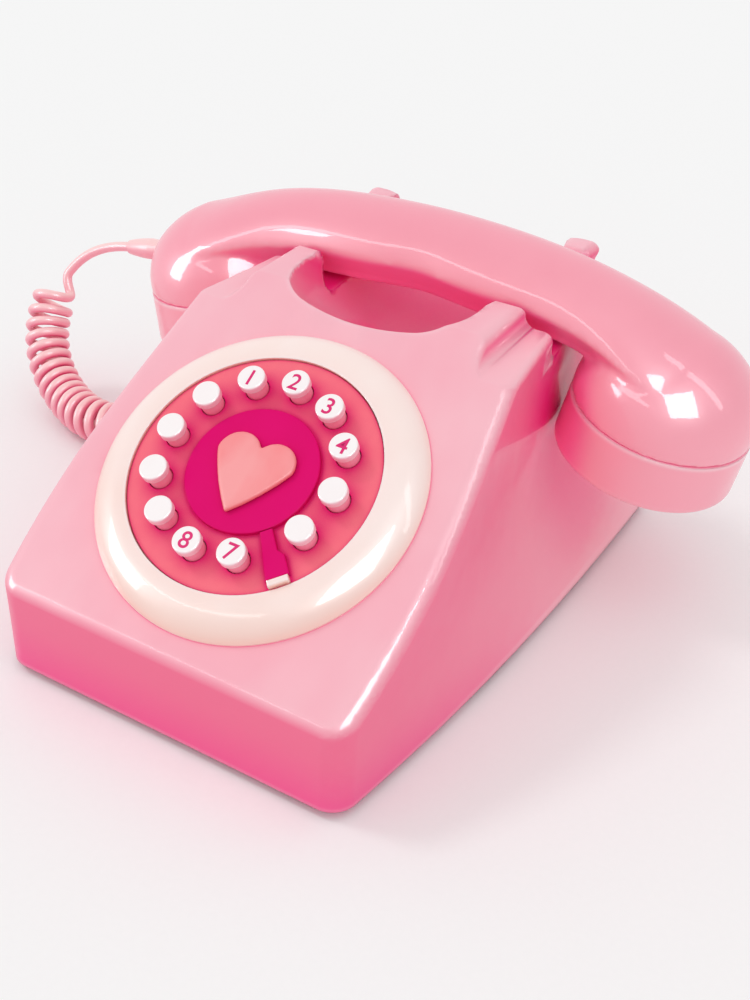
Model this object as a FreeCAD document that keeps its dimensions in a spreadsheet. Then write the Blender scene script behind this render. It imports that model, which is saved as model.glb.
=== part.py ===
"""Push-button desk telephone with a dial-shaped key ring, a cradle and a corded handset.

Millimetres. X runs to the right, Y to the back and Z up. The origin is on the table,
under the middle of the case.
"""
import FreeCAD, Part
import Sketcher
import math
import os

from FreeCAD import Placement, Rotation, Vector

os.makedirs("parts", exist_ok=True)
doc = FreeCAD.newDocument("telephone")


class Size:
    """A size that knows its number and the sheet formula that gives it."""

    def __init__(self, value, text):
        self.value = value
        self.text = text

    def _join(self, sign, other, value):
        other_text = other.text if isinstance(other, Size) else repr(other)
        return Size(value, "(" + self.text + " " + sign + " " + other_text + ")")

    def __add__(self, other):
        return self._join("+", other, self.value + number(other))

    def __radd__(self, other):
        return size_of(other) + self

    def __sub__(self, other):
        return self._join("-", other, self.value - number(other))

    def __rsub__(self, other):
        return size_of(other) - self

    def __mul__(self, other):
        return self._join("*", other, self.value * number(other))

    def __rmul__(self, other):
        return size_of(other) * self

    def __truediv__(self, other):
        return self._join("/", other, self.value / number(other))

    def __neg__(self):
        return Size(-self.value, "(0 - " + self.text + ")")


def number(size):
    return size.value if isinstance(size, Size) else float(size)


def size_of(item):
    return item if isinstance(item, Size) else Size(float(item), repr(float(item)))


# Height of a quarter round's arc over its chord, as a share of its radius
CHORD_BOW = 1 - math.sqrt(0.5)


def sine(angle):
    return Size(math.sin(math.radians(angle.value)), "sin(" + angle.text + ")")


def cosine(angle):
    return Size(math.cos(math.radians(angle.value)), "cos(" + angle.text + ")")


def root(item):
    return Size(math.sqrt(item.value), "sqrt(" + item.text + ")")


# The sizes that drive the model, in millimetres and degrees
SIZES = {
    # Case, outside
    "case_depth": 212.0,  # front to back at the table
    "front_half": 63.2,  # half width of the front at the table
    "front_waist": 63.9,  # half width of the front at waist height
    "front_top": 65.0,  # half width of the front at the top
    "mid_half": 75.5,  # half width in front of the middle, at the table
    "mid_waist": 63.5,  # that section at waist height
    "mid_top": 62.0,  # that section at the top
    "mid_place": -20.0,  # where along the depth that section lies
    "cup_half": 81.0,  # half width beside the handset cups, at the table
    "cup_waist": 54.4,  # that section at waist height
    "cup_top": 54.2,  # that section at the top
    "rear_half": 82.5,  # half width of the back at the table
    "rear_waist": 55.0,  # half width of the back at waist height
    "rear_top": 54.4,  # half width of the back at the top
    "waist_height": 56.0,  # where the flared skirt turns upright
    "flare": 5.2,  # how far the flare bows in from a straight line
    "front_bow": 0.2,  # the same for the front, which is almost straight
    "wall": 2.6,  # moulded wall
    "foot_height": 3.0,  # case above the table
    "skirt_height": 34.3,  # top edge of the front above the table
    "rear_lean": 8.0,  # how far the back leans forward
    "slope_angle": 31.1,  # slope of the face
    "edge_round": 5.0,  # rounded outer edges
    "corner_round": 9.0,  # rounded upright corners
    "fit": 0.3,  # gap between pieces that are fitted together
    "slip": 0.1,  # gap round a sliding plunger
    "pin_play": 0.05,  # gap round a turning pin
    # Cradle
    "shoulder_height": 95.8,  # shoulder outside the horns, above the table
    "horn_rise": 7.7,  # crest of the four horns above the shoulder
    "horn_crest": 41.0,  # crest of the horns from the middle
    "horn_foot": 49.5,  # foot of their outer sides from the middle
    "horn_round": 3.0,  # rounded rim of the case's top
    "lip_round": 4.0,  # rounded lips of the saddle's walls
    "saddle_drop": 9.8,  # floor of the saddle under the shoulder
    "saddle_half": 23.0,  # half the width of the saddle, front to back
    "saddle_round": 5.0,  # rounded foot of the saddle walls
    "scoop_half": 34.0,  # half width of the finger scoop
    "scoop_deep": 16.0,  # lowest point of the scoop under the saddle
    "scoop_radius": 77.2,  # its curve, seen from the side
    "scoop_crown": 3.4,  # how much shallower it is near its sides
    "scoop_side": 20.0,  # depth of its rounded sides
    "scoop_flare": 20.0,  # how far its sides open out up to the scoop's own axis
    # Dial and keys, from the face outwards
    "dial_place": 62.1,  # dial centre up the slope from the front edge
    "ring_outer": 54.0,  # radius of the bezel ring
    "ring_inner": 41.0,  # well that holds the dial plate
    "ring_height": 7.2,  # ring above the face
    "ring_edge": 0.8,  # upright outer edge of the ring
    "ring_crown": 1.8,  # bow of the ring's domed top
    "ring_land": 2.0,  # flat land round the well
    "ring_wall": 2.2,  # wall of the ring's spigot
    "spigot_radius": 48.7,  # radius of the spigot that drops through the case
    "spigot_depth": 5.0,  # spigot below the face
    "ledge_inner": 39.4,  # inner radius of the ledge that carries the dial plate
    "ledge_thick": 1.8,  # thickness of that ledge
    "plate_top": 6.4,  # top of the dial plate above the face
    "plate_thick": 2.0,  # thickness of the dial plate
    "hub_radius": 21.6,  # radius of the disc in the middle
    "hub_thick": 1.6,  # thickness of that disc
    "heart_half": 13.7,  # half width of the heart at its shoulders
    "heart_shoulder": 2.5,  # shoulders above the middle
    "heart_cleft": 6.8,  # cleft above the middle
    "heart_tip": 16.2,  # tip below the middle
    "heart_lobe": 5.9,  # bow of each lobe
    "heart_side": 0.9,  # bow of each side
    "heart_thick": 2.2,  # thickness of the heart
    "heart_round": 0.8,  # its rounded rim
    "stop_angle": 138.0,  # finger stop, clockwise from the top of the dial
    "stop_gap": 41.0,  # angle left free for it between two keys
    "stop_inner": 4.0,  # width of the stop at the disc
    "stop_outer": 7.4,  # width at its outer end
    "stop_elbow": 29.5,  # where it widens, from the dial's middle
    "stop_thick": 1.8,  # thickness of the stop
    "stop_tip_long": 2.2,  # pale tip, along the stop
    "stop_tip_wide": 6.6,  # across it
    "stop_tip_thick": 2.6,  # thickness of that tip
    "skirt_wall": 2.0,  # short wall under the ledge that bears on the board
    "key_circle": 29.9,  # circle of the key centres
    "key_step": 29.0,  # angle from key to key
    "key_top": 13.6,  # key tops above the face
    "key_radius": 4.5,  # radius of a key's cap
    "key_cap_thick": 2.6,  # thickness of that cap
    "key_round": 0.6,  # rounded rim of the cap
    "key_neck": 3.7,  # radius of the neck under the cap
    "key_flange": 4.8,  # radius of the flange that holds the key under the plate
    "key_flange_thick": 1.2,  # thickness of that flange
    "key_foot": 2.4,  # radius of the foot that presses the mat
    "key_travel": 2.0,  # how far a key goes down
    "mat_radius": 34.9,  # radius of the rubber key mat
    "mat_thick": 1.2,  # thickness of the mat
    "dome_radius": 3.6,  # radius of the mat's dome under each key
    "dome_height": 0.6,  # height of that dome, pressed flat
    "board_radius": 43.0,  # radius of the keypad board
    "board_thick": 1.6,  # thickness of the circuit boards
    "post_circle": 37.2,  # circle of the posts under the dial plate
    "post_radius": 2.0,  # radius of those posts
    "post_bore_deep": 4.0,  # screw hole in a post
    "screw_radius": 1.4,  # radius of the small screws
    "screw_head": 2.8,  # radius of their heads
    "screw_head_thick": 1.6,  # thickness of their heads
    "clamp_outer": 52.4,  # radius of the ring that clamps the bezel inside the case
    "clamp_thick": 1.6,  # thickness of that ring
    # Handset
    "handset_length": 246.6,  # over both cups
    "cup_radius": 32.5,  # radius of the ear and mouth cups
    "handset_inset": 45.0,  # handset axis in front of the foot of the back
    "seam_drop": 18.4,  # seam between a cup and its cap, under the saddle
    "cup_tilt": 10.0,  # how far the cups lean, their caps towards the case
    "cap_height": 20.0,  # height of the screw caps
    "cap_flare": 0.4,  # how much wider they are at their floor
    "cap_wall": 2.6,  # their wall
    "cap_floor": 3.0,  # their perforated floor
    "cap_round": 2.0,  # rounded edge of their floor
    "cup_upright": 2.5,  # upright stretch of a cup above its cap
    "cup_knee": 24.0,  # radius where a cup's side turns into its top
    "cup_knee_height": 22.0,  # height of that turn above the seam
    "cup_crown": 32.0,  # top of a cup above its seam
    "cup_bow_side": 2.3,  # bow of the side
    "cup_bow_top": 2.24,  # bow of the top
    "cup_hollow": 27.0,  # radius of the room inside a cup
    "hollow_top": 15.5,  # top of that room above the seam
    "neck_depth": 7.5,  # screwed neck inside the cap
    "capsule_radius": 29.0,  # radius of the receiver and the microphone
    "handle_top": 32.0,  # top of the handle in the middle, above the saddle
    "handle_under": 5.0,  # its underside in the middle
    "handle_width": 37.0,  # its width in the middle
    "seat_x": 45.0,  # where the handle is made to rest, from the middle
    "seat_top": 29.0,  # top of the handle there, above the saddle
    "seat_gap": 2.0,  # its underside above the saddle
    "seat_width": 39.0,  # its width there
    "neck_x": 72.0,  # where the handle runs into a cup
    "neck_top": 23.0,  # top of the handle there
    "neck_under": -3.0,  # its underside there
    "neck_width": 45.0,  # its width there
    "root_x": 88.0,  # where it lies on the cup
    "root_top": 17.0,  # top of the handle there
    "root_under": -8.0,  # its underside there
    "root_width": 53.0,  # its width there
    "end_x": 104.0,  # where it ends inside the cup
    "end_top": 10.8,  # top of the handle there
    "end_under": -8.0,  # its underside there
    "end_width": 40.0,  # its width there
    "crease_share": 0.42,  # height of the crease along the side, as a share
    "under_share": 0.66,  # width of the underside, as a share
    "under_round": 3.0,  # rounded lower edges of the handle
    "sound_hole": 1.1,  # radius of the sound holes
    "sound_circle": 9.0,  # circle of the sound holes
    "boot_height": 10.0,  # cord boot above the cup's seam
    "boot_radius": 3.7,  # radius of the boot at the cup
    "boot_bulge": 4.3,  # radius of its thickest part
    "boot_tip": 2.9,  # radius of its tip
    "boot_long": 18.0,  # how far it stands out
    "boot_root": 33.2,  # where it leaves the cup, from the cup's axis
    "boot_inside": 6.9,  # its length through the cup's wall
    "boot_flange": 4.6,  # radius of its flange inside the cup
    "boot_flange_thick": 1.5,  # thickness of that flange
    # Base, hook, bell and sockets
    "base_thick": 2.6,  # thickness of the base plate
    "foot_radius": 7.0,  # radius of the rubber feet
    "foot_front_x": 52.0,  # front feet from the middle
    "foot_front_inset": 36.0,  # front feet behind the case's front
    "foot_rear_x": 62.0,  # rear feet from the middle
    "foot_rear_inset": 28.0,  # rear feet in front of the back's foot
    "boss_radius": 4.0,  # radius of the screw bosses in the case
    "boss_front_x": 51.0,  # front bosses from the middle
    "boss_front_inset": 16.0,  # front bosses behind the case's front
    "boss_front_top": 39.0,  # their top above the table
    "boss_rear_x": 43.0,  # rear bosses from the middle
    "boss_rear_inset": 12.0,  # rear bosses in front of the back's foot
    "boss_rear_drop": 1.0,  # their top under the saddle's floor
    "boss_hole_deep": 14.0,  # depth of the screw hole in a boss
    "ballast_half": 38.0,  # steel weight, half its width
    "ballast_inset": 24.0,  # its front edge behind the case's front
    "ballast_long": 36.0,  # its length along the depth
    "ballast_thick": 5.0,  # its thickness
    "plunger_radius": 4.0,  # radius of the cradle plungers
    "plunger_x": 41.5,  # their place from the middle
    "plunger_gap": 0.5,  # their tops under the handle
    "plunger_flange": 4.9,  # radius of the flange that stops a plunger
    "plunger_flange_thick": 1.8,  # thickness of that flange
    "plunger_rise": 4.0,  # how far a plunger comes up
    "plunger_stem": 2.6,  # radius of the stem down to the lever
    "lever_drop": 10.0,  # top of the hook lever under the scoop
    "lever_thick": 2.0,  # its sheet steel
    "lever_bar": 50.0,  # half length of its crossbar
    "lever_bar_wide": 8.0,  # width of that bar
    "lever_half": 19.5,  # half width of its arm
    "pivot_ahead": 29.0,  # hook pivot in front of the handset's axis
    "pivot_drop": 8.0,  # hook pivot under the lever's top
    "pivot_radius": 1.5,  # radius of the hook pin
    "pivot_ear": 4.5,  # radius of the ear round the pin
    "bracket_half": 22.5,  # half width over the bracket's uprights
    "bracket_wide": 12.0,  # width of its uprights, along the depth
    "shelf_drop": 18.0,  # top of the switch shelf under the lever's top
    "shelf_short": 8.0,  # rear edge of the shelf in front of the handset's axis
    "switch_high": 14.0,  # height of the hook switch
    "switch_half": 10.0,  # half its width
    "switch_deep": 8.0,  # its depth
    "switch_button": 1.6,  # radius of its button
    "ringer_radius": 12.0,  # radius of the ringer
    "ringer_high": 7.0,  # its height
    "chip_half": 6.0,  # half the width of the board's chip
    "chip_long": 10.0,  # its length along the depth
    "chip_high": 2.5,  # its height
    "board_half": 36.0,  # half width of the main board
    "board_long": 26.0,  # its length along the depth
    "board_inset": 22.0,  # its rear edge in front of the back's foot
    "board_post": 2.8,  # radius of the posts that carry it
    "board_height": 14.0,  # its underside above the table
    "socket_x": 30.0,  # line socket from the middle
    "socket_half": 8.0,  # half its width
    "socket_high": 15.0,  # its height
    "socket_deep": 15.0,  # its depth
    "socket_set": 2.0,  # its face in front of the back's foot
    "jack_half": 5.2,  # half width of the plug's way in
    "jack_high": 7.4,  # height of the plug's way in
    "jack_deep": 12.0,  # depth of the plug's way in
    "gland_y": 20.0,  # cord gland behind the middle
    "gland_height": 14.0,  # cord gland above the table
    "gland_radius": 6.0,  # its radius
    "gland_flange": 7.5,  # radius of its flange inside the case
    "gland_flange_thick": 2.0,  # thickness of that flange
    "gland_nose": 81.0,  # its nose from the middle
    "gland_long": 18.0,  # its length
    # Handset cord
    "cord_radius": 2.0,  # radius of the cord itself
    "coil_turn": 7.4,  # radius of a curl, to the middle of the cord
    "coil_pitch": 5.7,  # from curl to curl
    "lead_long": 50.0,  # from the boot to the first curl
    "tail_long": 34.0,  # from the last curl to the gland
    "coil_entry": 12.0,  # length over which the lead turns into a curl
}


class Sheet:
    """Names for the cells, each giving a Size."""


dims = doc.addObject("Spreadsheet::Sheet", "dims")
sheet = Sheet()
for row, (name, amount) in enumerate(SIZES.items(), 1):
    dims.set("A" + str(row), name)
    dims.set("B" + str(row), str(amount))
    dims.setAlias("B" + str(row), name)
    setattr(sheet, name, Size(amount, "dims." + name))
doc.recompute()


def bind(item, **sizes):
    """Sets properties and ties them to the sheet."""
    for name, size in sizes.items():
        size = size_of(size)
        setattr(item, name, size.value)
        item.setExpression(name, size.text)


def body(name):
    item = doc.addObject("PartDesign::Body", name)
    item.Label = name
    return item


def plane(owner, role):
    return next(part for part in owner.Origin.OriginFeatures if part.Role == role)


def sketch(owner, name, role, shift=0):
    """An empty sketch on one of the body's own planes, shifted along its normal."""
    item = owner.newObject("Sketcher::SketchObject", name)
    item.AttachmentSupport = (plane(owner, role), [""])
    item.MapMode = "FlatFace"
    shift = size_of(shift)
    item.AttachmentOffset = Placement(Vector(0, 0, shift.value), Rotation())
    item.setExpression("AttachmentOffset.Base.z", shift.text)
    return item


def pin_point(drawing, index, end, point):
    """Ties one point of a sketch to the sheet."""
    for kind, size in (("DistanceX", point[0]), ("DistanceY", point[1])):
        size = size_of(size)
        order = drawing.addConstraint(Sketcher.Constraint(kind, index, end, size.value))
        if isinstance(size, Size) and "dims" in size.text:
            drawing.setExpression("Constraints[" + str(order) + "]", size.text)


def turn_sketch(drawing, place, about, angle):
    """Shifts a sketch off its plane and turns it, tied to the sheet."""
    place = [size_of(size) for size in place]
    drawing.AttachmentOffset = Placement(
        Vector(*[size.value for size in place]), Rotation(Vector(*about), angle.value))
    for letter, size in zip("xyz", place):
        drawing.setExpression("AttachmentOffset.Base." + letter, size.text)
    drawing.setExpression("AttachmentOffset.Rotation.Angle", angle.text)


def outline(drawing, corners, bows=None):
    """A closed outline through the corners. bows maps a side's number to the height of
    its arc, positive to the left of the way from corner to corner."""
    bows = bows or {}
    points = [Vector(number(x), number(y), 0) for x, y in corners]
    first = drawing.GeometryCount
    for i, start in enumerate(points):
        stop = points[(i + 1) % len(points)]
        if i in bows:
            along = stop - start
            left = Vector(-along.y, along.x, 0).normalize()
            middle = (start + stop) * 0.5 + left * number(bows[i])
            drawing.addGeometry(Part.Arc(start, middle, stop), False)
        else:
            drawing.addGeometry(Part.LineSegment(start, stop), False)
    for i in range(len(points)):
        following = (i + 1) % len(points)
        ends = []
        for index, corner in ((i, points[following]), (following, points[following])):
            begin = drawing.getPoint(first + index, 1)
            ends.append(1 if (begin - corner).Length < 1e-6 else 2)
        drawing.addConstraint(
            Sketcher.Constraint("Coincident", first + i, ends[0], first + following, ends[1]))
        pin_point(drawing, first + following, ends[1], corners[following])
    for i, bow in bows.items():
        bow = size_of(bow)
        (x1, y1), (x2, y2) = corners[i], corners[(i + 1) % len(corners)]
        across, up = size_of(x2) - x1, size_of(y2) - y1
        height = bow if bow.value > 0 else -bow
        radius = (across * across + up * up) / 4 / height / 2 + height / 2
        order = drawing.addConstraint(Sketcher.Constraint("Radius", first + i, radius.value))
        drawing.setExpression("Constraints[" + str(order) + "]", radius.text)


def circle(drawing, x, y, radius):
    index = drawing.addGeometry(
        Part.Circle(Vector(number(x), number(y), 0), Vector(0, 0, 1), number(radius)), False)
    pin_point(drawing, index, 3, (x, y))
    radius = size_of(radius)
    order = drawing.addConstraint(Sketcher.Constraint("Radius", index, radius.value))
    drawing.setExpression("Constraints[" + str(order) + "]", radius.text)


def feature(owner, kind, name, profile, **settings):
    """A PartDesign feature made from a profile sketch."""
    item = owner.newObject("PartDesign::" + kind, name)
    item.Profile = profile
    for key, value in settings.items():
        if isinstance(value, Size):
            bind(item, **{key: value})
        else:
            setattr(item, key, value)
    return item


def both_sides(points):
    """Mirrors a run of corners, given from the bottom right to the top right, into a
    closed outline."""
    return points + [(-size_of(x), y) for x, y in reversed(points)]


def pick_edges(shape, wanted, unless=None):
    """Names of the edges whose start, middle and end all pass the test, and whose middle
    doesn't pass the second one."""
    picked = []
    for order, edge in enumerate(shape.Edges):
        middle = edge.valueAt((edge.FirstParameter + edge.LastParameter) / 2)
        places = [edge.Vertexes[0].Point, middle, edge.Vertexes[-1].Point]
        if all(wanted(place) for place in places) and not (unless and unless(middle)):
            picked.append("Edge" + str(order + 1))
    return picked


def rounded(owner, name, radius, wanted, unless=None):
    doc.recompute()
    base = owner.Tip
    item = owner.newObject("PartDesign::Fillet", name)
    item.Base = (base, pick_edges(base.Shape, wanted, unless))
    bind(item, Radius=radius)
    return item


def seat(item, x=0, y=0, z=0, tilt=None, about=(1, 0, 0)):
    """Places an item, tied to the sheet; tilt turns it about X or another direction."""
    x, y, z = size_of(x), size_of(y), size_of(z)
    angle = tilt.value if tilt else 0
    item.Placement = Placement(
        Vector(x.value, y.value, z.value), Rotation(Vector(*about), angle))
    for axis, size in (("x", x), ("y", y), ("z", z)):
        item.setExpression("Placement.Base." + axis, size.text)
    if tilt:
        item.setExpression("Placement.Rotation.Angle", tilt.text)
    return item


def cylinder(name, radius, height, x=0, y=0, z=0, tilt=None, along=None):
    """A cylinder standing on its place, or lying along X or Y."""
    item = doc.addObject("Part::Cylinder", name)
    item.Label = name
    bind(item, Radius=radius, Height=height)
    seat(item, x, y, z, tilt)
    turns = {"x": Rotation(Vector(0, 1, 0), 90), "y": Rotation(Vector(1, 0, 0), -90)}
    if along:
        item.Placement = Placement(item.Placement.Base, turns[along])
    return item


def box(name, low, high):
    """A box between two corners."""
    item = doc.addObject("Part::Box", name)
    item.Label = name
    low = [size_of(size) for size in low]
    high = [size_of(size) for size in high]
    bind(item, Length=high[0] - low[0], Width=high[1] - low[1], Height=high[2] - low[2])
    return seat(item, *low)


def fuse(name, parts):
    item = doc.addObject("Part::MultiFuse", name)
    item.Label = name
    item.Shapes = parts
    return item


def cut(name, base, tools):
    """The base less its tools."""
    item = doc.addObject("Part::Cut", name)
    item.Label = name
    item.Base = base
    item.Tool = tools[0] if len(tools) == 1 else fuse(name + "_tools", tools)
    return item


def group(name, parts):
    """Like pieces that share a name, each a solid of its own."""
    item = doc.addObject("Part::Compound", name)
    item.Label = name
    item.Links = parts
    return item


def turned(name, corners, bows=None, x=0, y=0, z=0, tilt=None, about=(1, 0, 0), axis="V_Axis"):
    """A turned piece: its half section, in its own X and Z, swept about an axis."""
    item = body(name)
    section = sketch(item, name + "_section", "XZ_Plane")
    outline(section, corners, bows)
    feature(item, "Revolution", name + "_turned", section, ReferenceAxis=(section, [axis]),
            Angle=360.0)
    return seat(item, x, y, z, tilt, about)


s = sheet
half_depth = s.case_depth / 2
base_top = s.foot_height + s.base_thick
horn_height = s.shoulder_height + s.horn_rise
saddle_height = s.shoulder_height - s.saddle_drop
handset_place = half_depth - s.handset_inset
seam_height = saddle_height - s.seam_drop
saddle_front = handset_place - s.saddle_half
saddle_rear = handset_place + s.saddle_half
scoop_floor = saddle_height - s.scoop_deep
lever_top = scoop_floor - s.lever_drop
pivot_y = handset_place - s.pivot_ahead
pivot_z = lever_top - s.pivot_drop
shelf_height = lever_top - s.shelf_drop
shelf_rear = handset_place - s.shelf_short
board_rear = half_depth - s.board_inset
board_front = board_rear - s.board_long

# The case: its outer form and its cavity come from the same four sections


def case_form(name, inset, top):
    """A loft through four upright sections, cut back to the sloping face and the back."""
    item = body(name)
    bottom = s.foot_height
    sections = [
        (s.front_half, s.front_waist, s.front_top, s.front_bow, inset - half_depth),
        (s.mid_half, s.mid_waist, s.mid_top, s.flare / 2, s.mid_place),
        (s.cup_half, s.cup_waist, s.cup_top, s.flare, handset_place),
        (s.rear_half, s.rear_waist, s.rear_top, s.flare, half_depth - inset),
    ]
    drawings = []
    for i, (low, waist, high, bow, place) in enumerate(sections):
        drawing = sketch(item, name + "_section_" + str(i + 1), "XZ_Plane", -size_of(place))
        share = (top - s.waist_height) / (horn_height - s.waist_height)
        head = waist + (high - waist) * share
        outline(drawing, both_sides([
            (low - inset, bottom), (waist - inset, s.waist_height), (head - inset, top),
        ]), {0: bow, 4: bow})
        drawings.append(drawing)
    feature(item, "AdditiveLoft", name + "_loft", drawings[0], Sections=drawings[1:])
    doc.recompute()

    drop = inset / cosine(s.slope_angle)
    rise = horn_height - s.skirt_height
    run = rise * cosine(s.slope_angle) / sine(s.slope_angle)
    spare = 20.0
    above = sketch(item, name + "_above_face", "YZ_Plane")
    outline(above, [
        (run + spare * cosine(s.slope_angle) - half_depth,
         horn_height + spare * sine(s.slope_angle) - drop),
        (-spare * cosine(s.slope_angle) - half_depth,
         s.skirt_height - spare * sine(s.slope_angle) - drop),
        (-half_depth - spare * 2, horn_height + spare),
    ])
    feature(item, "Pocket", name + "_face", above, Type="ThroughAll", Midplane=True)
    behind = sketch(item, name + "_behind", "YZ_Plane")
    outline(behind, [
        (half_depth - inset, bottom),
        (half_depth + spare, bottom),
        (half_depth + spare, horn_height + 1),
        (half_depth - inset - s.rear_lean, horn_height + 1),
    ])
    feature(item, "Pocket", name + "_back", behind, Type="ThroughAll", Midplane=True)
    doc.recompute()
    return item


def round_upright(item, name, inset):
    """Rounds the four upright corners of an inner form to follow the outer ones."""
    def on_corner(p):
        front = abs(p.y + half_depth.value - inset.value) < 0.05
        return front or p.y > saddle_rear.value and abs(p.x) > s.rear_top.value - inset.value - 1

    def upright(p):
        return on_corner(p) and abs(p.x) > 45 and p.z < s.shoulder_height.value + 0.05

    doc.recompute()
    base = item.Tip
    picked = [
        word for word in pick_edges(base.Shape, upright)
        if abs(base.Shape.getElement(word).Vertexes[0].Z
               - base.Shape.getElement(word).Vertexes[-1].Z) > s.wall.value * 4]
    corner = item.newObject("PartDesign::Fillet", name + "_corners")
    corner.Base = (base, picked)
    bind(corner, Radius=s.corner_round - inset)
    doc.recompute()


def cut_shoulders(item, name):
    """Lowers the top outside the horns, along an S from their crest to the shoulder."""
    shoulders = sketch(item, name + "_shoulder_front", "XZ_Plane")
    far = s.mid_half + s.wall
    run = (s.horn_foot - s.horn_crest) / 2
    drop = (horn_height - s.shoulder_height) / 2
    chord = root(run * run + drop * drop)
    bow = chord * (chord - run) / drop / 2
    for side in (1, -1):
        outline(shoulders, [
            (s.horn_crest * side, horn_height),
            ((s.horn_crest + run) * side, horn_height - drop),
            (s.horn_foot * side, s.shoulder_height),
            (far * side, s.shoulder_height),
            (far * side, horn_height + 1),
            (s.horn_crest * side, horn_height + 1),
        ], {0: bow * side, 1: -bow * side})
    feature(item, "Pocket", name + "_shoulders", shoulders, Type="ThroughAll", Midplane=True)


def cut_scoop(item, name, inset):
    """The finger scoop: a barrel turned about a crosswise axis above the handle."""
    scoop = sketch(item, name + "_scoop_section", "XZ_Plane", -handset_place)
    axis_height = scoop_floor + s.scoop_radius
    scoop.AttachmentOffset = Placement(
        Vector(0, axis_height.value, -handset_place.value), Rotation())
    scoop.setExpression("AttachmentOffset.Base.y", axis_height.text)
    half = s.scoop_half + inset
    deep = s.scoop_radius + inset
    shallow = deep - s.scoop_crown
    knee = half - s.scoop_side * 0.6
    wide = half + s.scoop_flare
    round_bow = s.scoop_side / 5
    outline(scoop, [
        (-wide, 0), (-half, s.scoop_side - shallow), (-knee, -shallow),
        (knee, -shallow), (half, s.scoop_side - shallow), (wide, 0),
    ], {1: -round_bow, 2: -s.scoop_crown, 3: -round_bow})
    feature(item, "Groove", name + "_scoop", scoop, ReferenceAxis=(scoop, ["H_Axis"]),
            Angle=360.0)


def cut_saddle(item, name, inset):
    """The saddle that the handle crosses, with horns left standing before and behind it."""
    floor = saddle_height - inset
    foot = s.saddle_round + inset
    front = saddle_front - inset
    rear = saddle_rear + inset
    lip = s.lip_round
    top = horn_height
    saddle = sketch(item, name + "_saddle_side", "YZ_Plane")
    outline(saddle, [
        (front - lip, top + 1), (front - lip, top), (front, top - lip), (front, floor + foot),
        (front + foot, floor), (rear - foot, floor), (rear, floor + foot), (rear, top - lip),
        (rear + lip, top), (rear + lip, top + 1),
    ], {1: lip * CHORD_BOW, 3: -foot * CHORD_BOW, 5: -foot * CHORD_BOW, 7: lip * CHORD_BOW})
    feature(item, "Pocket", name + "_saddle", saddle, Type="ThroughAll", Midplane=True)


def round_case(item, name):
    """Rounds the upright corners, the edges of the face and the rim of the top."""
    near = 0.05
    crest = s.shoulder_height.value
    rear_side = s.rear_top.value - 1

    def on_face(p):
        run = p.y + half_depth.value
        height = s.skirt_height.value + run * math.tan(math.radians(s.slope_angle.value))
        return abs(p.z - height) < near

    def on_front(p):
        return abs(p.y + half_depth.value) < near and abs(p.x) > s.front_half.value - 5

    def on_rear_corner(p):
        return p.y > saddle_rear.value and abs(p.x) > rear_side and p.z < crest + near

    def on_shoulder(p):
        return abs(p.z - crest) < near and abs(p.x) > s.horn_foot.value - near

    def on_horn_foot(p):
        return abs(abs(p.x) - s.horn_foot.value) < near

    rounded(item, name + "_front_corners", s.corner_round, on_front)
    rounded(item, name + "_rear_corners", s.corner_round, on_rear_corner)
    rounded(item, name + "_face_edges", s.edge_round,
            lambda p: on_face(p) and p.z < crest + near, on_shoulder)
    rounded(item, name + "_top_rim", s.horn_round, on_shoulder, on_horn_foot)
    doc.recompute()


outside = case_form("case_outside", size_of(0), horn_height)
cut_shoulders(outside, "case_outside")
round_case(outside, "case_outside")
cut_scoop(outside, "case_outside", size_of(0))
cut_saddle(outside, "case_outside", size_of(0))
cavity = case_form("case_cavity", s.wall, s.shoulder_height - s.wall)
round_upright(cavity, "case_cavity", s.wall)
cut_scoop(cavity, "case_cavity", s.wall)
cut_saddle(cavity, "case_cavity", s.wall)

# The dial sits square on the face: w runs out of the face, u up the slope
dial_y = s.dial_place * cosine(s.slope_angle) - half_depth
dial_z = s.skirt_height + s.dial_place * sine(s.slope_angle)


def above_face(w, u=0):
    """Place in Y and Z of a point at height w over the face and u up from the dial."""
    y = dial_y + u * cosine(s.slope_angle) - w * sine(s.slope_angle)
    z = dial_z + u * sine(s.slope_angle) + w * cosine(s.slope_angle)
    return y, z


def clock(radius, angle, across=0):
    """A point on the dial, by its clockwise angle from the top."""
    x = radius * sine(angle) + across * cosine(angle)
    y = radius * cosine(angle) - across * sine(angle)
    return x, y


dial_opening = cylinder("dial_opening", s.spigot_radius + s.fit, s.wall * 4,
                        0, *above_face(-s.wall * 2), tilt=s.slope_angle)
plunger_bores = [
    cylinder("plunger_bore_" + word, s.plunger_radius + s.slip, s.wall * 3,
             side * s.plunger_x, handset_place, saddle_height - s.wall * 2)
    for word, side in (("left", -1), ("right", 1))]
boss_places = [
    (side * x, y, top) for side in (-1, 1) for x, y, top in (
        (s.boss_front_x, s.boss_front_inset - half_depth, s.boss_front_top),
        (s.boss_rear_x, half_depth - s.boss_rear_inset, saddle_height - s.boss_rear_drop))]
bosses = [
    cylinder("boss_" + str(i + 1), s.boss_radius, top - base_top - s.fit, x, y, base_top + s.fit)
    for i, (x, y, top) in enumerate(boss_places)]
boss_holes = [
    cylinder("boss_hole_" + str(i + 1), s.screw_radius + s.slip, s.boss_hole_deep, x, y, base_top)
    for i, (x, y, top) in enumerate(boss_places)]
socket_window = box(
    "socket_window",
    (s.socket_x - s.socket_half - s.fit, half_depth - s.socket_deep, base_top - s.fit),
    (s.socket_x + s.socket_half + s.fit, half_depth + s.wall, base_top + s.socket_high + s.fit))
gland_hole = cylinder("gland_hole", s.gland_radius + s.fit, s.gland_long * 2,
                      -s.gland_nose - s.gland_long / 2, s.gland_y, s.gland_height, along="x")
shell = cut("case_shell", outside, [cavity])
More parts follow.
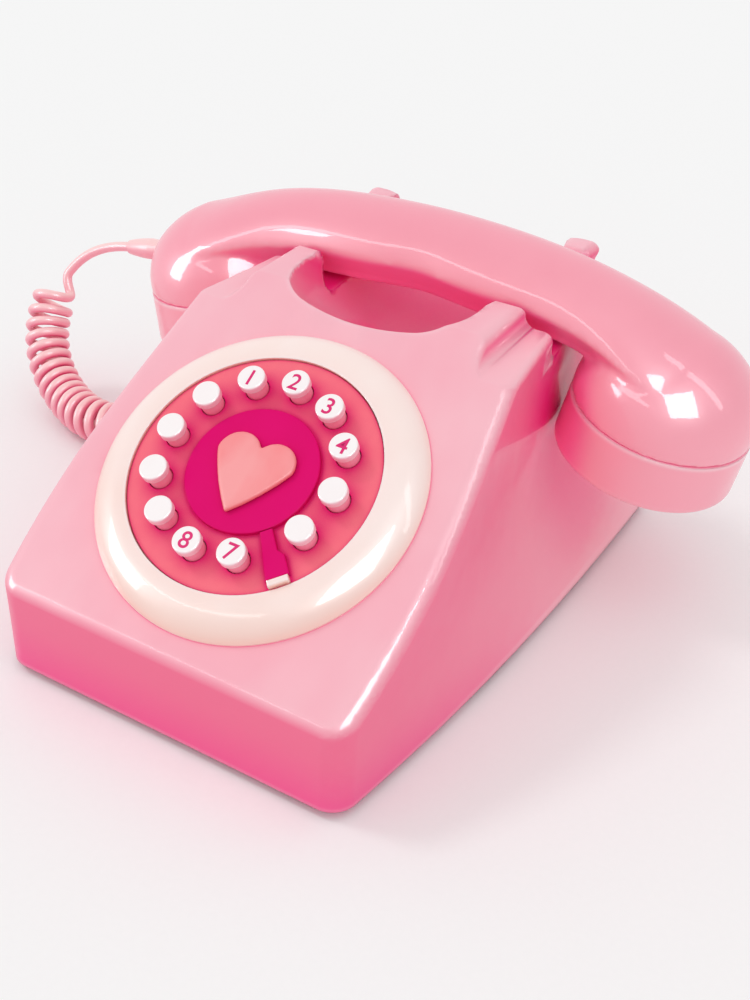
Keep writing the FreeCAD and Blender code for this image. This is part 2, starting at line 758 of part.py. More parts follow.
case = cut("case", fuse("case_with_bosses", [shell] + bosses),
           [dial_opening, socket_window, gland_hole] + plunger_bores + boss_holes)

# The base plate fills the foot of the case, with posts for the main board
plate_form = case_form("plate_form", s.wall + s.fit, s.waist_height * 1.2)
round_upright(plate_form, "plate_form", s.wall + s.fit)
plate_slab = box("plate_slab", (-s.rear_half, -half_depth, s.foot_height),
                 (s.rear_half, half_depth, base_top))
plate_blank = doc.addObject("Part::Common", "plate_blank")
plate_blank.Base = plate_slab
plate_blank.Tool = plate_form
post_inset = s.board_post * 2
board_corners = [
    (x * (s.board_half - post_inset), y) for x in (-1, 1)
    for y in (board_front + post_inset, board_rear - post_inset)]
board_posts = [
    cylinder("board_post_" + str(i + 1), s.board_post, s.board_height - s.foot_height,
             x, y, s.foot_height) for i, (x, y) in enumerate(board_corners)]
post_holes = [
    cylinder("post_hole_" + str(i + 1), s.screw_radius + s.slip, s.board_height,
             x, y, base_top + 1) for i, (x, y) in enumerate(board_corners)]
plate_holes = [
    cylinder("plate_hole_" + str(i + 1), s.screw_radius + s.slip, s.base_thick * 3,
             x, y, s.foot_height - s.base_thick)
    for i, (x, y, top) in enumerate(boss_places)]
base_plate = cut("base_plate", fuse("base_with_posts", [plate_blank] + board_posts),
                 plate_holes + post_holes)
rubber_feet = group("rubber_feet", [
    cylinder("foot_" + str(i + 1), s.foot_radius, s.foot_height, side * x, y, 0)
    for i, (side, x, y) in enumerate(
        (side, x, y) for side in (-1, 1)
        for x, y in ((s.foot_front_x, s.foot_front_inset - half_depth),
                     (s.foot_rear_x, half_depth - s.foot_rear_inset)))])


def screw(name, x, y, z, long, tilt=None, way=1):
    """A screw pointing up (way 1) or down (way -1) from under its head."""
    head = s.screw_head
    return turned(name, [
        (0, -s.screw_head_thick * way), (head - 0.5, -s.screw_head_thick * way),
        (head, (0.6 - s.screw_head_thick) * way), (head, 0), (s.screw_radius, 0),
        (s.screw_radius, (long - 1) * way), (s.screw_radius / 2, long * way), (0, long * way),
    ], x=x, y=y, z=z, tilt=tilt)


base_screws = group("base_screws", [
    screw("base_screw_" + str(i + 1), x, y, s.foot_height, s.base_thick + s.boss_hole_deep - 2)
    for i, (x, y, top) in enumerate(boss_places)])
ballast_front = s.ballast_inset - half_depth
ballast_weight = box(
    "ballast_weight", (-s.ballast_half, ballast_front, base_top),
    (s.ballast_half, ballast_front + s.ballast_long, base_top + s.ballast_thick))

# Bezel ring, dial plate, disc, heart and finger stop
well_floor = s.plate_top - s.plate_thick
spigot_bore = s.spigot_radius - s.ring_wall
dial_ring = turned("dial_ring", [
    (s.ledge_inner, well_floor), (s.ring_inner, well_floor), (s.ring_inner, s.ring_height),
    (s.ring_inner + s.ring_land, s.ring_height), (s.ring_outer, s.ring_edge),
    (s.ring_outer, 0), (s.spigot_radius, 0), (s.spigot_radius, -s.spigot_depth),
    (spigot_bore, -s.spigot_depth), (spigot_bore, well_floor - s.ledge_thick),
    (s.ledge_inner + s.skirt_wall, well_floor - s.ledge_thick),
    (s.ledge_inner + s.skirt_wall, -s.mat_thick), (s.ledge_inner, -s.mat_thick),
], {3: s.ring_crown}, 0, dial_y, dial_z, s.slope_angle)
dial_clamp = turned("dial_clamp", [
    (s.spigot_radius + s.slip, -s.wall), (s.clamp_outer, -s.wall),
    (s.clamp_outer, -s.wall - s.clamp_thick), (s.spigot_radius + s.slip, -s.wall - s.clamp_thick),
], None, 0, dial_y, dial_z, s.slope_angle)


def disc(name, radius, thick, w):
    """A round plate on the dial, its underside at height w over the face."""
    item = body(name)
    drawing = sketch(item, name + "_outline", "XY_Plane", w)
    circle(drawing, 0, 0, radius)
    feature(item, "Pad", name + "_pad", drawing, Length=thick)
    seat(item, 0, dial_y, dial_z, s.slope_angle)
    doc.recompute()
    return item


def polar(item, name, features, angle, times):
    """Repeats features about the body's own Z axis."""
    pattern = item.newObject("PartDesign::PolarPattern", name)
    pattern.Originals = features
    pattern.Axis = (plane(item, "Z_Axis"), [""])
    bind(pattern, Angle=angle)
    pattern.Occurrences = times
    item.Tip = pattern
    doc.recompute()
    return pattern


KEYS = 12
last_before_stop = KEYS // 2
key_angles = []
for number_of_key in range(1, KEYS + 1):
    if number_of_key <= last_before_stop:
        steps = number_of_key - last_before_stop
        key_angles.append(s.stop_angle - s.stop_gap / 2 + s.key_step * steps)
    else:
        steps = number_of_key - last_before_stop - 1
        key_angles.append(s.stop_angle + s.stop_gap / 2 + s.key_step * steps)
# The patterns of holes and domes turn anticlockwise from the last key before the stop
last_key_angle = key_angles[last_before_stop - 1]

dial_plate = disc("dial_plate", s.ring_inner - s.fit, s.plate_thick, well_floor)
key_hole = sketch(dial_plate, "key_hole", "XY_Plane", s.plate_top)
circle(key_hole, *clock(s.key_circle, last_key_angle), s.key_neck + s.fit)
key_hole_cut = feature(dial_plate, "Pocket", "key_hole_cut", key_hole, Length=s.plate_thick + 1)
doc.recompute()
polar(dial_plate, "key_holes", [key_hole_cut], s.key_step * (KEYS - 1), KEYS)
post = sketch(dial_plate, "post", "XY_Plane", -s.mat_thick)
circle(post, s.post_circle, 0, s.post_radius)
post_pad = feature(dial_plate, "Pad", "post_pad", post, Length=well_floor + s.mat_thick)
post_bore = sketch(dial_plate, "post_bore", "XY_Plane", -s.mat_thick)
circle(post_bore, s.post_circle, 0, s.screw_radius + s.slip)
post_bore_cut = feature(dial_plate, "Pocket", "post_bore_cut", post_bore,
                        Length=s.post_bore_deep, Reversed=True)
doc.recompute()
polar(dial_plate, "posts", [post_pad, post_bore_cut], size_of(360), 4)

hub_disc = disc("hub_disc", s.hub_radius, s.hub_thick, s.plate_top)


def rim_at(height):
    return lambda p: abs(p.z - height.value) < 0.05


rounded(hub_disc, "hub_disc_rim", s.hub_thick / 4, rim_at(s.plate_top + s.hub_thick))
heart_floor = s.plate_top + s.hub_thick
heart_badge = body("heart_badge")
heart = sketch(heart_badge, "heart_outline", "XY_Plane", heart_floor)
outline(heart, [
    (0, -s.heart_tip), (s.heart_half, s.heart_shoulder), (0, s.heart_cleft),
    (-s.heart_half, s.heart_shoulder),
], {0: -s.heart_side, 1: -s.heart_lobe, 2: -s.heart_lobe, 3: -s.heart_side})
feature(heart_badge, "Pad", "heart_pad", heart, Length=s.heart_thick)
rounded(heart_badge, "heart_rim", s.heart_round, rim_at(heart_floor + s.heart_thick))
seat(heart_badge, 0, dial_y, dial_z, s.slope_angle)

finger_stop = body("finger_stop")
stop = sketch(finger_stop, "stop_outline", "XY_Plane", s.plate_top)
stop_root = s.hub_radius + s.fit
tip_end = s.ring_inner - s.fit * 2
stop_end = tip_end - s.stop_tip_long
outline(stop, [
    clock(stop_root, s.stop_angle, s.stop_inner / 2), clock(stop_end, s.stop_angle, s.stop_outer / 2),
    clock(stop_end, s.stop_angle, -s.stop_outer / 2),
    clock(s.stop_elbow + s.stop_inner / 2, s.stop_angle, -s.stop_outer / 2),
    clock(s.stop_elbow, s.stop_angle, -s.stop_inner / 2), clock(stop_root, s.stop_angle, -s.stop_inner / 2),
])
feature(finger_stop, "Pad", "stop_pad", stop, Length=s.stop_thick)
rounded(finger_stop, "stop_rim", s.stop_thick / 4, rim_at(s.plate_top + s.stop_thick))
seat(finger_stop, 0, dial_y, dial_z, s.slope_angle)
finger_stop_tip = body("finger_stop_tip")
tip = sketch(finger_stop_tip, "tip_outline", "XY_Plane", s.plate_top)
tip_root = stop_end + s.slip
outline(tip, [
    clock(tip_root, s.stop_angle, s.stop_tip_wide / 2), clock(tip_end, s.stop_angle, s.stop_tip_wide / 2),
    clock(tip_end, s.stop_angle, -s.stop_tip_wide / 2), clock(tip_root, s.stop_angle, -s.stop_tip_wide / 2),
])
feature(finger_stop_tip, "Pad", "tip_pad", tip, Length=s.stop_tip_thick)
rounded(finger_stop_tip, "tip_rim", s.stop_tip_thick / 5, rim_at(s.plate_top + s.stop_tip_thick))
seat(finger_stop_tip, 0, dial_y, dial_z, s.slope_angle)

# Twelve push keys, each held under the plate by its flange
flange_top = well_floor - s.fit
flange_low = flange_top - s.key_flange_thick
cap_low = s.key_top - s.key_cap_thick
foot_low = s.dome_height + s.key_travel + s.slip
keys = []
for order, angle in enumerate(key_angles):
    x, u = clock(s.key_circle, angle)
    edge = s.key_round
    keys.append(turned("key_" + str(order + 1).zfill(2), [
        (0, foot_low), (s.key_foot, foot_low), (s.key_foot, flange_low), (s.key_flange, flange_low),
        (s.key_flange, flange_top), (s.key_neck, flange_top), (s.key_neck, cap_low),
        (s.key_radius, cap_low), (s.key_radius, s.key_top - edge),
        (s.key_radius - edge, s.key_top), (0, s.key_top),
    ], {8: -edge * CHORD_BOW}, x, *above_face(0, u), tilt=s.slope_angle))
keypad_mat = disc("keypad_mat", s.mat_radius, s.mat_thick, -s.mat_thick)
dome = sketch(keypad_mat, "dome", "XY_Plane")
circle(dome, *clock(s.key_circle, last_key_angle), s.dome_radius)
dome_pad = feature(keypad_mat, "Pad", "dome_pad", dome, Length=s.dome_height)
doc.recompute()
polar(keypad_mat, "domes", [dome_pad], s.key_step * (KEYS - 1), KEYS)
board_low = -s.mat_thick - s.board_thick
keypad_board = disc("keypad_board", s.board_radius, s.board_thick, board_low)
board_hole = sketch(keypad_board, "board_hole", "XY_Plane", -s.mat_thick)
circle(board_hole, s.post_circle, 0, s.screw_radius + s.slip)
board_hole_cut = feature(keypad_board, "Pocket", "board_hole_cut", board_hole,
                         Length=s.board_thick + 1)
doc.recompute()
polar(keypad_board, "board_holes", [board_hole_cut], size_of(360), 4)
keypad_screws = group("keypad_screws", [
    screw("keypad_screw_" + str(i + 1), s.post_circle * x,
          *above_face(board_low, s.post_circle * u), s.board_thick + s.post_bore_deep * 0.9,
          s.slope_angle)
    for i, (x, u) in enumerate(((1, 0), (0, 1), (-1, 0), (0, -1)))])

# Handset shell: a handle lofted from cup to cup, and two bored cups
cup_x = s.handset_length / 2 - s.cup_radius
handset_shell = body("handset_shell")
stations = [
    (s.end_x, s.end_top, s.end_under, s.end_width),
    (s.root_x, s.root_top, s.root_under, s.root_width),
    (s.neck_x, s.neck_top, s.neck_under, s.neck_width),
    (s.seat_x, s.seat_top, s.seat_gap, s.seat_width),
    (size_of(0), s.handle_top, s.handle_under, s.handle_width),
]
stations = [(-x, top, low, wide) for x, top, low, wide in stations] + [
    station for station in stations[-2::-1]]
profiles = []
for i, (x, rise, lift, wide) in enumerate(stations):
    top = saddle_height + rise
    low = saddle_height + lift
    profile = sketch(handset_shell, "handle_section_" + str(i + 1), "YZ_Plane", x)
    crease = low + (top - low) * s.crease_share
    half = wide / 2
    foot = half * s.under_share
    mid = handset_place
    edge = s.under_round
    outline(profile, [
        (mid - half, crease), (mid - foot, low + edge), (mid - foot + edge, low),
        (mid + foot - edge, low), (mid + foot, low + edge), (mid + half, crease),
    ], {1: -edge * CHORD_BOW, 3: -edge * CHORD_BOW, 5: -(top - crease)})
    profiles.append(profile)
feature(handset_shell, "AdditiveLoft", "handle", profiles[0], Sections=profiles[1:])
doc.recompute()


def beside_cup(name):
    """A sketch through the right cup's own leaning axis, from its seam upwards."""
    drawing = sketch(handset_shell, name, "XZ_Plane")
    turn_sketch(drawing, (cup_x, seam_height, -handset_place), (0, 0, -1), s.cup_tilt)
    return drawing


def on_cup(side):
    """How a piece that is drawn from the seam upwards sits on the left or right cup."""
    return {"x": side * cup_x, "y": handset_place, "z": seam_height,
            "tilt": s.cup_tilt, "about": (0, side, 0)}


cup = beside_cup("cup_section")
outline(cup, [
    (0, 0), (s.cup_radius, 0), (s.cup_radius, s.cup_upright),
    (s.cup_knee, s.cup_knee_height), (0, s.cup_crown),
], {2: -s.cup_bow_side, 3: -s.cup_bow_top})
cup_turned = feature(handset_shell, "Revolution", "cup", cup, ReferenceAxis=(cup, ["V_Axis"]),
                     Angle=360.0)
neck_outer = s.cup_radius - s.cap_wall - s.slip
neck = beside_cup("neck_section")
outline(neck, [
    (s.cup_hollow, -s.neck_depth), (neck_outer, -s.neck_depth),
    (neck_outer, s.cup_upright), (s.cup_hollow, s.cup_upright),
])
neck_turned = feature(handset_shell, "Revolution", "neck", neck, ReferenceAxis=(neck, ["V_Axis"]),
                      Angle=360.0)
hollow = beside_cup("hollow_section")
outline(hollow, [
    (0, -s.neck_depth * 1.2), (s.cup_hollow, -s.neck_depth * 1.2),
    (s.cup_hollow, s.hollow_top), (0, s.hollow_top),
])
hollow_turned = feature(handset_shell, "Groove", "hollow", hollow,
                        ReferenceAxis=(hollow, ["V_Axis"]), Angle=360.0)
doc.recompute()
other_cup = handset_shell.newObject("PartDesign::Mirrored", "other_cup")
other_cup.Originals = [cup_turned, neck_turned, hollow_turned]
other_cup.MirrorPlane = (plane(handset_shell, "YZ_Plane"), [""])
handset_shell.Tip = other_cup
doc.recompute()


def boot_at(reach):
    """Place in X and Z on the cord boot's axis, at a reach from the left cup's axis."""
    x = -cup_x - reach * cosine(s.cup_tilt) - s.boot_height * sine(s.cup_tilt)
    z = seam_height - reach * sine(s.cup_tilt) + s.boot_height * cosine(s.cup_tilt)
    return x, z


boot_hole = sketch(handset_shell, "boot_hole", "YZ_Plane")
hole_x, hole_z = boot_at(size_of(0))
turn_sketch(boot_hole, (handset_place, hole_z, hole_x), (-1, 0, 0), s.cup_tilt)
circle(boot_hole, 0, 0, s.boot_radius + s.slip)
feature(handset_shell, "Pocket", "boot_hole_cut", boot_hole, Length=s.cup_radius * 1.3)
doc.recompute()


def sound_cap(name, side):
    """A screw cap with rings of sound holes in its floor."""
    low = -s.cap_height
    floor = low + s.cap_floor
    inner = s.cup_radius - s.cap_wall
    rim = s.cup_radius + s.cap_flare
    item = turned(name, [
        (0, low), (rim - s.cap_round, low), (rim, low + s.cap_round), (s.cup_radius, 0),
        (inner, 0), (inner, floor), (0, floor),
    ], {1: -s.cap_round * CHORD_BOW}, **on_cup(side))
    middle = sketch(item, name + "_middle_hole", "XY_Plane", floor)
    circle(middle, 0, 0, s.sound_hole)
    feature(item, "Pocket", name + "_middle_hole_cut", middle, Length=s.cap_floor + 1)
    for ring in (1, 2):
        hole = sketch(item, name + "_hole_" + str(ring), "XY_Plane", floor)
        circle(hole, s.sound_circle * ring, 0, s.sound_hole)
        hole_cut = feature(item, "Pocket", name + "_hole_cut_" + str(ring), hole,
                           Length=s.cap_floor + 1)
        doc.recompute()
        polar(item, name + "_ring_" + str(ring), [hole_cut], size_of(360), 6 * ring)
    return item


def capsule(name, side):
    """A round capsule that lies on the cap's floor, under the neck."""
    low = s.cap_floor + s.fit - s.cap_height
    high = -s.neck_depth - s.fit
    radius = s.capsule_radius
    dome = s.cap_wall
    return turned(name, [
        (0, low), (radius, low), (radius, high), (radius - dome * 2, high),
        (radius - dome * 3, high + dome / 2), (0, high + dome / 2),
    ], None, **on_cup(side))


ear_cap = sound_cap("ear_cap", -1)
mouth_cap = sound_cap("mouth_cap", 1)
receiver_capsule = capsule("receiver_capsule", -1)
microphone_capsule = capsule("microphone_capsule", 1)
boot_x, boot_z = boot_at(s.boot_root)
handset_boot = turned("handset_boot", [
    (-s.boot_long, 0), (s.boot_inside + s.boot_flange_thick, 0),
    (s.boot_inside + s.boot_flange_thick, s.boot_flange), (s.boot_inside, s.boot_flange),
    (s.boot_inside, s.boot_radius), (0, s.boot_radius), (-s.boot_long / 3, s.boot_bulge),
    (-s.boot_long, s.boot_tip),
], {6: -0.3}, boot_x, handset_place, boot_z, s.cup_tilt, (0, -1, 0), "H_Axis")

# Plungers, hook lever with its pin, bracket and switch
plunger_top = saddle_height + s.seat_gap - s.plunger_gap
plunger_edge = s.plunger_radius / 5
flange_high = saddle_height - s.wall - s.plunger_rise - s.fit
plungers = [
    turned("plunger_" + word, [
        (0, lever_top + s.fit), (s.plunger_stem, lever_top + s.fit),
        (s.plunger_stem, flange_high - s.plunger_flange_thick),
        (s.plunger_flange, flange_high - s.plunger_flange_thick), (s.plunger_flange, flange_high),
        (s.plunger_radius, flange_high), (s.plunger_radius, plunger_top - plunger_edge),
        (s.plunger_radius - plunger_edge, plunger_top), (0, plunger_top),
    ], {6: -plunger_edge * CHORD_BOW}, side * s.plunger_x, handset_place)
    for word, side in (("left", -1), ("right", 1))]
lever_low = lever_top - s.lever_thick
ear_out = s.lever_half
ear_in = s.lever_half - s.lever_thick
lever_parts = [
    box("lever_bar_part", (-s.lever_bar, handset_place - s.lever_bar_wide / 2, lever_low),
        (s.lever_bar, handset_place + s.lever_bar_wide / 2, lever_top)),
    box("lever_arm_part", (-s.lever_half, pivot_y - s.pivot_ear, lever_low),
        (s.lever_half, handset_place, lever_top)),
]
for word, low, high in (("left", -ear_out, -ear_in), ("right", ear_in, ear_out)):
    lever_parts.append(box("lever_ear_" + word, (low, pivot_y - s.pivot_ear, pivot_z),
                           (high, pivot_y + s.pivot_ear, lever_low + 0.5)))
    lever_parts.append(cylinder("lever_round_" + word, s.pivot_ear, s.lever_thick,
                                low, pivot_y, pivot_z, along="x"))
lever_bore = cylinder("lever_bore", s.pivot_radius + s.pin_play, s.lever_half * 3,
                      -s.lever_half * 1.5, pivot_y, pivot_z, along="x")
hook_lever = cut("hook_lever", fuse("lever_blank", lever_parts), [lever_bore])
upright_in = s.lever_half + s.fit
bracket_front = pivot_y - s.bracket_wide / 2
bracket_rear = pivot_y + s.bracket_wide / 2
bracket_parts = [box(
    "bracket_foot", (-s.bracket_half, bracket_front, base_top),
    (s.bracket_half, bracket_rear, base_top + s.lever_thick))]
for word, low, high in (("left", -s.bracket_half, -upright_in), ("right", upright_in, s.bracket_half)):
    bracket_parts.append(box("bracket_upright_" + word, (low, bracket_front, base_top),
                             (high, bracket_rear, pivot_z + s.pivot_ear)))
bracket_parts.append(box(
    "bracket_shelf", (-s.bracket_half, bracket_front, shelf_height - s.lever_thick),
    (s.bracket_half, shelf_rear, shelf_height)))
bracket_bore = cylinder("bracket_bore", s.pivot_radius, s.bracket_half * 3,
                        -s.bracket_half * 1.5, pivot_y, pivot_z, along="x")
hook_bracket = cut("hook_bracket", fuse("bracket_blank", bracket_parts), [bracket_bore])
pin_half = s.bracket_half + 1.5
hook_pin = cylinder("hook_pin", s.pivot_radius, pin_half * 2, -pin_half, pivot_y, pivot_z,
                    along="x")
switch_mid = shelf_rear - s.switch_deep / 2
switch_top = shelf_height + s.switch_high
hook_switch = fuse("hook_switch", [
    box("switch_body", (-s.switch_half, shelf_rear - s.switch_deep, shelf_height),
        (s.switch_half, shelf_rear, switch_top)),
    cylinder("switch_button_part", s.switch_button, lever_low - s.fit - switch_top + 0.5,
             0, switch_mid, switch_top - 0.5)])

# Main board with its ringer, and the socket for the line
board_top = s.board_height + s.board_thick
main_board = cut("main_board", box(
    "main_board_blank", (-s.board_half, board_front, s.board_height),
    (s.board_half, board_rear, board_top)), [
        cylinder("main_board_hole_" + str(i + 1), s.screw_radius + s.slip, s.board_thick * 3,
                 x, y, s.board_height - s.board_thick) for i, (x, y) in enumerate(board_corners)])
main_board_screws = group("main_board_screws", [
    screw("main_board_screw_" + str(i + 1), x, y, board_top, s.board_thick + s.post_bore_deep, way=-1)
    for i, (x, y) in enumerate(board_corners)])
board_mid = (board_front + board_rear) / 2
ringer = turned("ringer", [
    (0, board_top), (s.ringer_radius, board_top), (s.ringer_radius, board_top + s.ringer_high),
    (2, board_top + s.ringer_high), (2, board_top + s.ringer_high - 1),
    (0, board_top + s.ringer_high - 1),
], None, -s.board_half / 3, board_mid)
chip_x = s.board_half / 3
board_chip = box(
    "board_chip", (chip_x - s.chip_half, board_mid - s.chip_long / 2, board_top),
    (chip_x + s.chip_half, board_mid + s.chip_long / 2, board_top + s.chip_high))
socket_face = half_depth - s.socket_set
jack_low = base_top + (s.socket_high - s.jack_high) / 2
line_socket = cut("line_socket", box(
    "socket_block", (s.socket_x - s.socket_half, socket_face - s.socket_deep, base_top),
    (s.socket_x + s.socket_half, socket_face, base_top + s.socket_high)), [
        box("jack_way", (s.socket_x - s.jack_half, socket_face - s.jack_deep, jack_low),
            (s.socket_x + s.jack_half, socket_face + 1, jack_low + s.jack_high)),
        box("jack_latch", (s.socket_x - s.jack_half / 2, socket_face - s.jack_deep, jack_low - 2),
            (s.socket_x + s.jack_half / 2, socket_face + 1, jack_low + 1))])
cord_gland = turned("cord_gland", [
    (0, 0), (s.gland_long, 0), (s.gland_long, s.gland_flange),
    (s.gland_long - s.gland_flange_thick, s.gland_flange),
    (s.gland_long - s.gland_flange_thick, s.gland_radius),
    (s.gland_radius / 2, s.gland_radius), (0, s.gland_radius - 2.5),
], {5: -0.4}, -s.gland_nose, s.gland_y, s.gland_height, axis="H_Axis")

# Handset cord: a straight lead, a coil and a straight tail, in one unbroken tube.
# Its route is a list of points, joined by straight runs and tangent arcs.
end_x, end_z = boot_at(s.boot_root + s.boot_long)
boot_end = Vector(end_x.value, handset_place.value, end_z.value)
boot_way = Vector(-cosine(s.cup_tilt).value, 0, -sine(s.cup_tilt).value)
gland_end = Vector(-s.gland_nose.value, s.gland_y.value, s.gland_height.value)
CORD_POINTS = [
    boot_end,
    boot_end + boot_way * 13,
    Vector(-173.6, 59, 54.7),
    Vector(-178.3, 45.9, 38.2),
    Vector(-171.7, 33.8, 21.7),
    Vector(-154.5, 24.4, 9.8),
    Vector(-127.4, 14, 9.8),
    Vector(-98, 20, 14),
    gland_end,
]


def unit(vector):
    return vector * (1 / vector.Length)


def route_pieces(points):
    """The route as (start, direction, length, centre): a run has no centre."""
    pieces = []
    at = points[0]
    for before, corner, after in zip(points, points[1:], points[2:]):
        arriving = corner - before
        leaving = after - corner
        turn = arriving.getAngle(leaving)
        shorter = min(arriving.Length, leaving.Length)
        radius = 0.45 * shorter / math.tan(turn / 2)
        print("cord corner: turn", round(math.degrees(turn), 1), "radius", round(radius, 1))
        arriving = unit(arriving)
        leaving = unit(leaving)
        start = corner - arriving * (0.45 * shorter)
        inward = unit(leaving - arriving * arriving.dot(leaving))
        pieces.append((at, arriving, (start - at).Length, None))
        pieces.append((start, arriving, radius * turn, start + inward * radius))
        at = corner + leaving * (0.45 * shorter)
    pieces.append((at, unit(points[-1] - at), (points[-1] - at).Length, None))
    return pieces


ROUTE = route_pieces(CORD_POINTS)
route_length = sum(piece[2] for piece in ROUTE)


def route_at(distance):
    """Place and direction at a distance along the route."""
    for start, direction, length, centre in ROUTE:
        if distance <= length or (start, direction) == ROUTE[-1][:2]:
            break
        distance -= length
    if centre is None:
        return start + direction * distance, direction
    inward = centre - start
    angle = distance / inward.Length
    place = centre - inward * math.cos(angle) + direction * (inward.Length * math.sin(angle))
    heading = direction * math.cos(angle) + unit(inward) * math.sin(angle)
    return place, heading


def coil_points(first, last, radius, pitch):
    """Places and directions a quarter turn apart along a helix wound about the route."""
    quarters = round((last - first) / pitch * 4)
    step = (last - first) / quarters
    fine = 8
    side = unit(route_at(first)[1].cross(Vector(0, 1, 0)))
    found = []
    for i in range(quarters * fine + 1):
        place, heading = route_at(first + step * i / fine)
        side = unit(side - heading * side.dot(heading))
        up = heading.cross(side)
        angle = math.pi / 2 * i / fine
        out = side * math.cos(angle) + up * math.sin(angle)
        around = up * math.cos(angle) - side * math.sin(angle)
        if i % fine == 0:
            slant = heading + around * (radius * math.pi / 2 / step)
            found.append((place + out * radius, unit(slant)))
    return found


def arc_between(start, heading, end):
    """The arc that leaves start along heading and reaches end, or a run if it is straight."""
    chord = end - start
    across = heading - unit(chord) * heading.dot(unit(chord))
    if across.Length < 1e-6:
        return Part.LineSegment(start, end).toShape()
    bow = chord.Length / 2 * math.tan(heading.getAngle(chord) / 2)
    middle = start + chord * 0.5 + unit(across) * bow
    return Part.Arc(start, middle, end).toShape()


def biarc(start, heading, end, arriving):
    """Two arcs that join two places with the given directions."""
    gap = end - start
    both = heading + arriving
    spread = 2 * (1 - heading.dot(arriving))
    slope = 2 * gap.dot(both)
    if spread < 1e-9:
        reach = gap.dot(gap) / slope
    else:
        reach = (math.sqrt(slope * slope + 4 * spread * gap.dot(gap)) - slope) / (2 * spread)
    joint = (start + heading * reach + end - arriving * reach) * 0.5
    back = arc_between(end, -arriving, joint)
    back.reverse()
    return [arc_between(start, heading, joint), back]


def cord_line():
    """The middle line of the whole cord, from the boot to the gland."""
    first = s.lead_long.value
    last = route_length - s.tail_long.value
    entry = s.coil_entry.value
    stops = [0.0]
    for piece in ROUTE:
        stops.append(stops[-1] + piece[2])
    lead = [stop for stop in stops if stop < first - entry - 1] + [first - entry]
    tail = [last + entry] + [stop for stop in stops if stop > last + entry + 1]
    places = [route_at(stop) for stop in lead]
    places += coil_points(first, last, s.coil_turn.value, s.coil_pitch.value)
    places += [route_at(stop) for stop in tail]
    edges = []
    for (start, heading), (end, arriving) in zip(places, places[1:]):
        edges += biarc(start, heading, end, arriving)
    return edges


def least_gap(edges, diameter):
    """Least gap between the cord and itself, measured on points along its middle line."""
    spots = []
    run = 0.0
    for edge in edges:
        steps = max(1, round(edge.Length))
        for i in range(steps):
            share = (i + 0.5) / steps
            place = edge.valueAt(
                edge.FirstParameter + (edge.LastParameter - edge.FirstParameter) * share)
            spots.append((run + edge.Length * share, place))
        run += edge.Length
    least = 1e9
    for i, (at, place) in enumerate(spots):
        for other_at, other in spots[i + 1:]:
            if other_at - at > diameter * 4:
                least = min(least, (other - place).Length)
    return least - diameter


cord_edges = cord_line()
cord_wire = Part.Wire(cord_edges)
cord_section = Part.Wire([Part.Circle(
    boot_end, ROUTE[0][1], s.cord_radius.value).toShape()])
handset_cord = doc.addObject("Part::Feature", "handset_cord")
handset_cord.Label = "handset_cord"
handset_cord.Shape = cord_wire.makePipeShell([cord_section], True, False)
print("cord length", round(cord_wire.Length, 1))
print("cord volume over section times length",
      round(handset_cord.Shape.Volume
            / (math.pi * s.cord_radius.value ** 2 * cord_wire.Length), 4))
print("tightest bend", round(min(
    edge.Curve.Radius for edge in cord_edges if hasattr(edge.Curve, "Radius")), 2))
print("least gap to itself", round(least_gap(cord_edges, s.cord_radius.value * 2), 2))

kept = [case, base_plate, rubber_feet, base_screws, ballast_weight, dial_ring, dial_clamp,
        dial_plate, hub_disc, heart_badge, finger_stop, finger_stop_tip, keypad_mat,
        keypad_board, keypad_screws, handset_shell, ear_cap, mouth_cap, receiver_capsule,
        microphone_capsule, handset_boot, hook_lever, hook_bracket, hook_pin, hook_switch,
        main_board, main_board_screws, ringer, board_chip, line_socket, cord_gland,
        handset_cord] + keys + plungers
doc.recompute()
for item in doc.Objects:
    if "Invalid" in item.State or "Error" in item.State:
        raise RuntimeError(item.Name + " failed to rebuild")
for item in kept:
    if item.Shape.isNull() or not item.Shape.isValid():
        raise RuntimeError(item.Label + " has no valid solid")
    item.Shape.exportStep("parts/" + item.Label + ".step")
print("nodes", len(kept))
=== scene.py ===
import math

import bmesh
import bpy
from mathutils import Matrix, Vector


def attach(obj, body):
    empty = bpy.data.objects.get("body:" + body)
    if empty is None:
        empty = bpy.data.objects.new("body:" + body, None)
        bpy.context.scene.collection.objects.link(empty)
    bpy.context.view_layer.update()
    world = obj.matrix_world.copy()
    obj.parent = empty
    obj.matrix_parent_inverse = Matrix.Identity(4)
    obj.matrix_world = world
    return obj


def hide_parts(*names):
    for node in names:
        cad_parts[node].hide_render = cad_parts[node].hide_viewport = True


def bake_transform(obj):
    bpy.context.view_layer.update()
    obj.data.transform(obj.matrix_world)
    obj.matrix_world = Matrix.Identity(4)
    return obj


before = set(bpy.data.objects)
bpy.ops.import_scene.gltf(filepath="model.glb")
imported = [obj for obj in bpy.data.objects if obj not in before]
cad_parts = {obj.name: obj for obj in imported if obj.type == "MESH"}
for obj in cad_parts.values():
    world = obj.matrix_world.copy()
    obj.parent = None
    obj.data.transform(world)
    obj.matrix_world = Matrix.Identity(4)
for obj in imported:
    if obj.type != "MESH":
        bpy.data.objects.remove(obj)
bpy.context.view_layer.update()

# The viewpoint: a little to the right of the telephone and well above it, at arm's length.
# The camera stands where the picture was drawn from, with the same tilt and roll.

view_right = Vector((0.8660, 0.4977, 0.0496))
view_up = Vector((-0.3185, 0.4722, 0.8219))
view_back = Vector((0.3856, -0.7276, 0.5674))
view_place = Vector((0.1776, -0.3110, 0.2767))
camera_data = bpy.data.cameras.new("viewpoint")
camera_data.sensor_width = 36.0
camera_data.lens = 43.77
camera_data.clip_start = 0.01


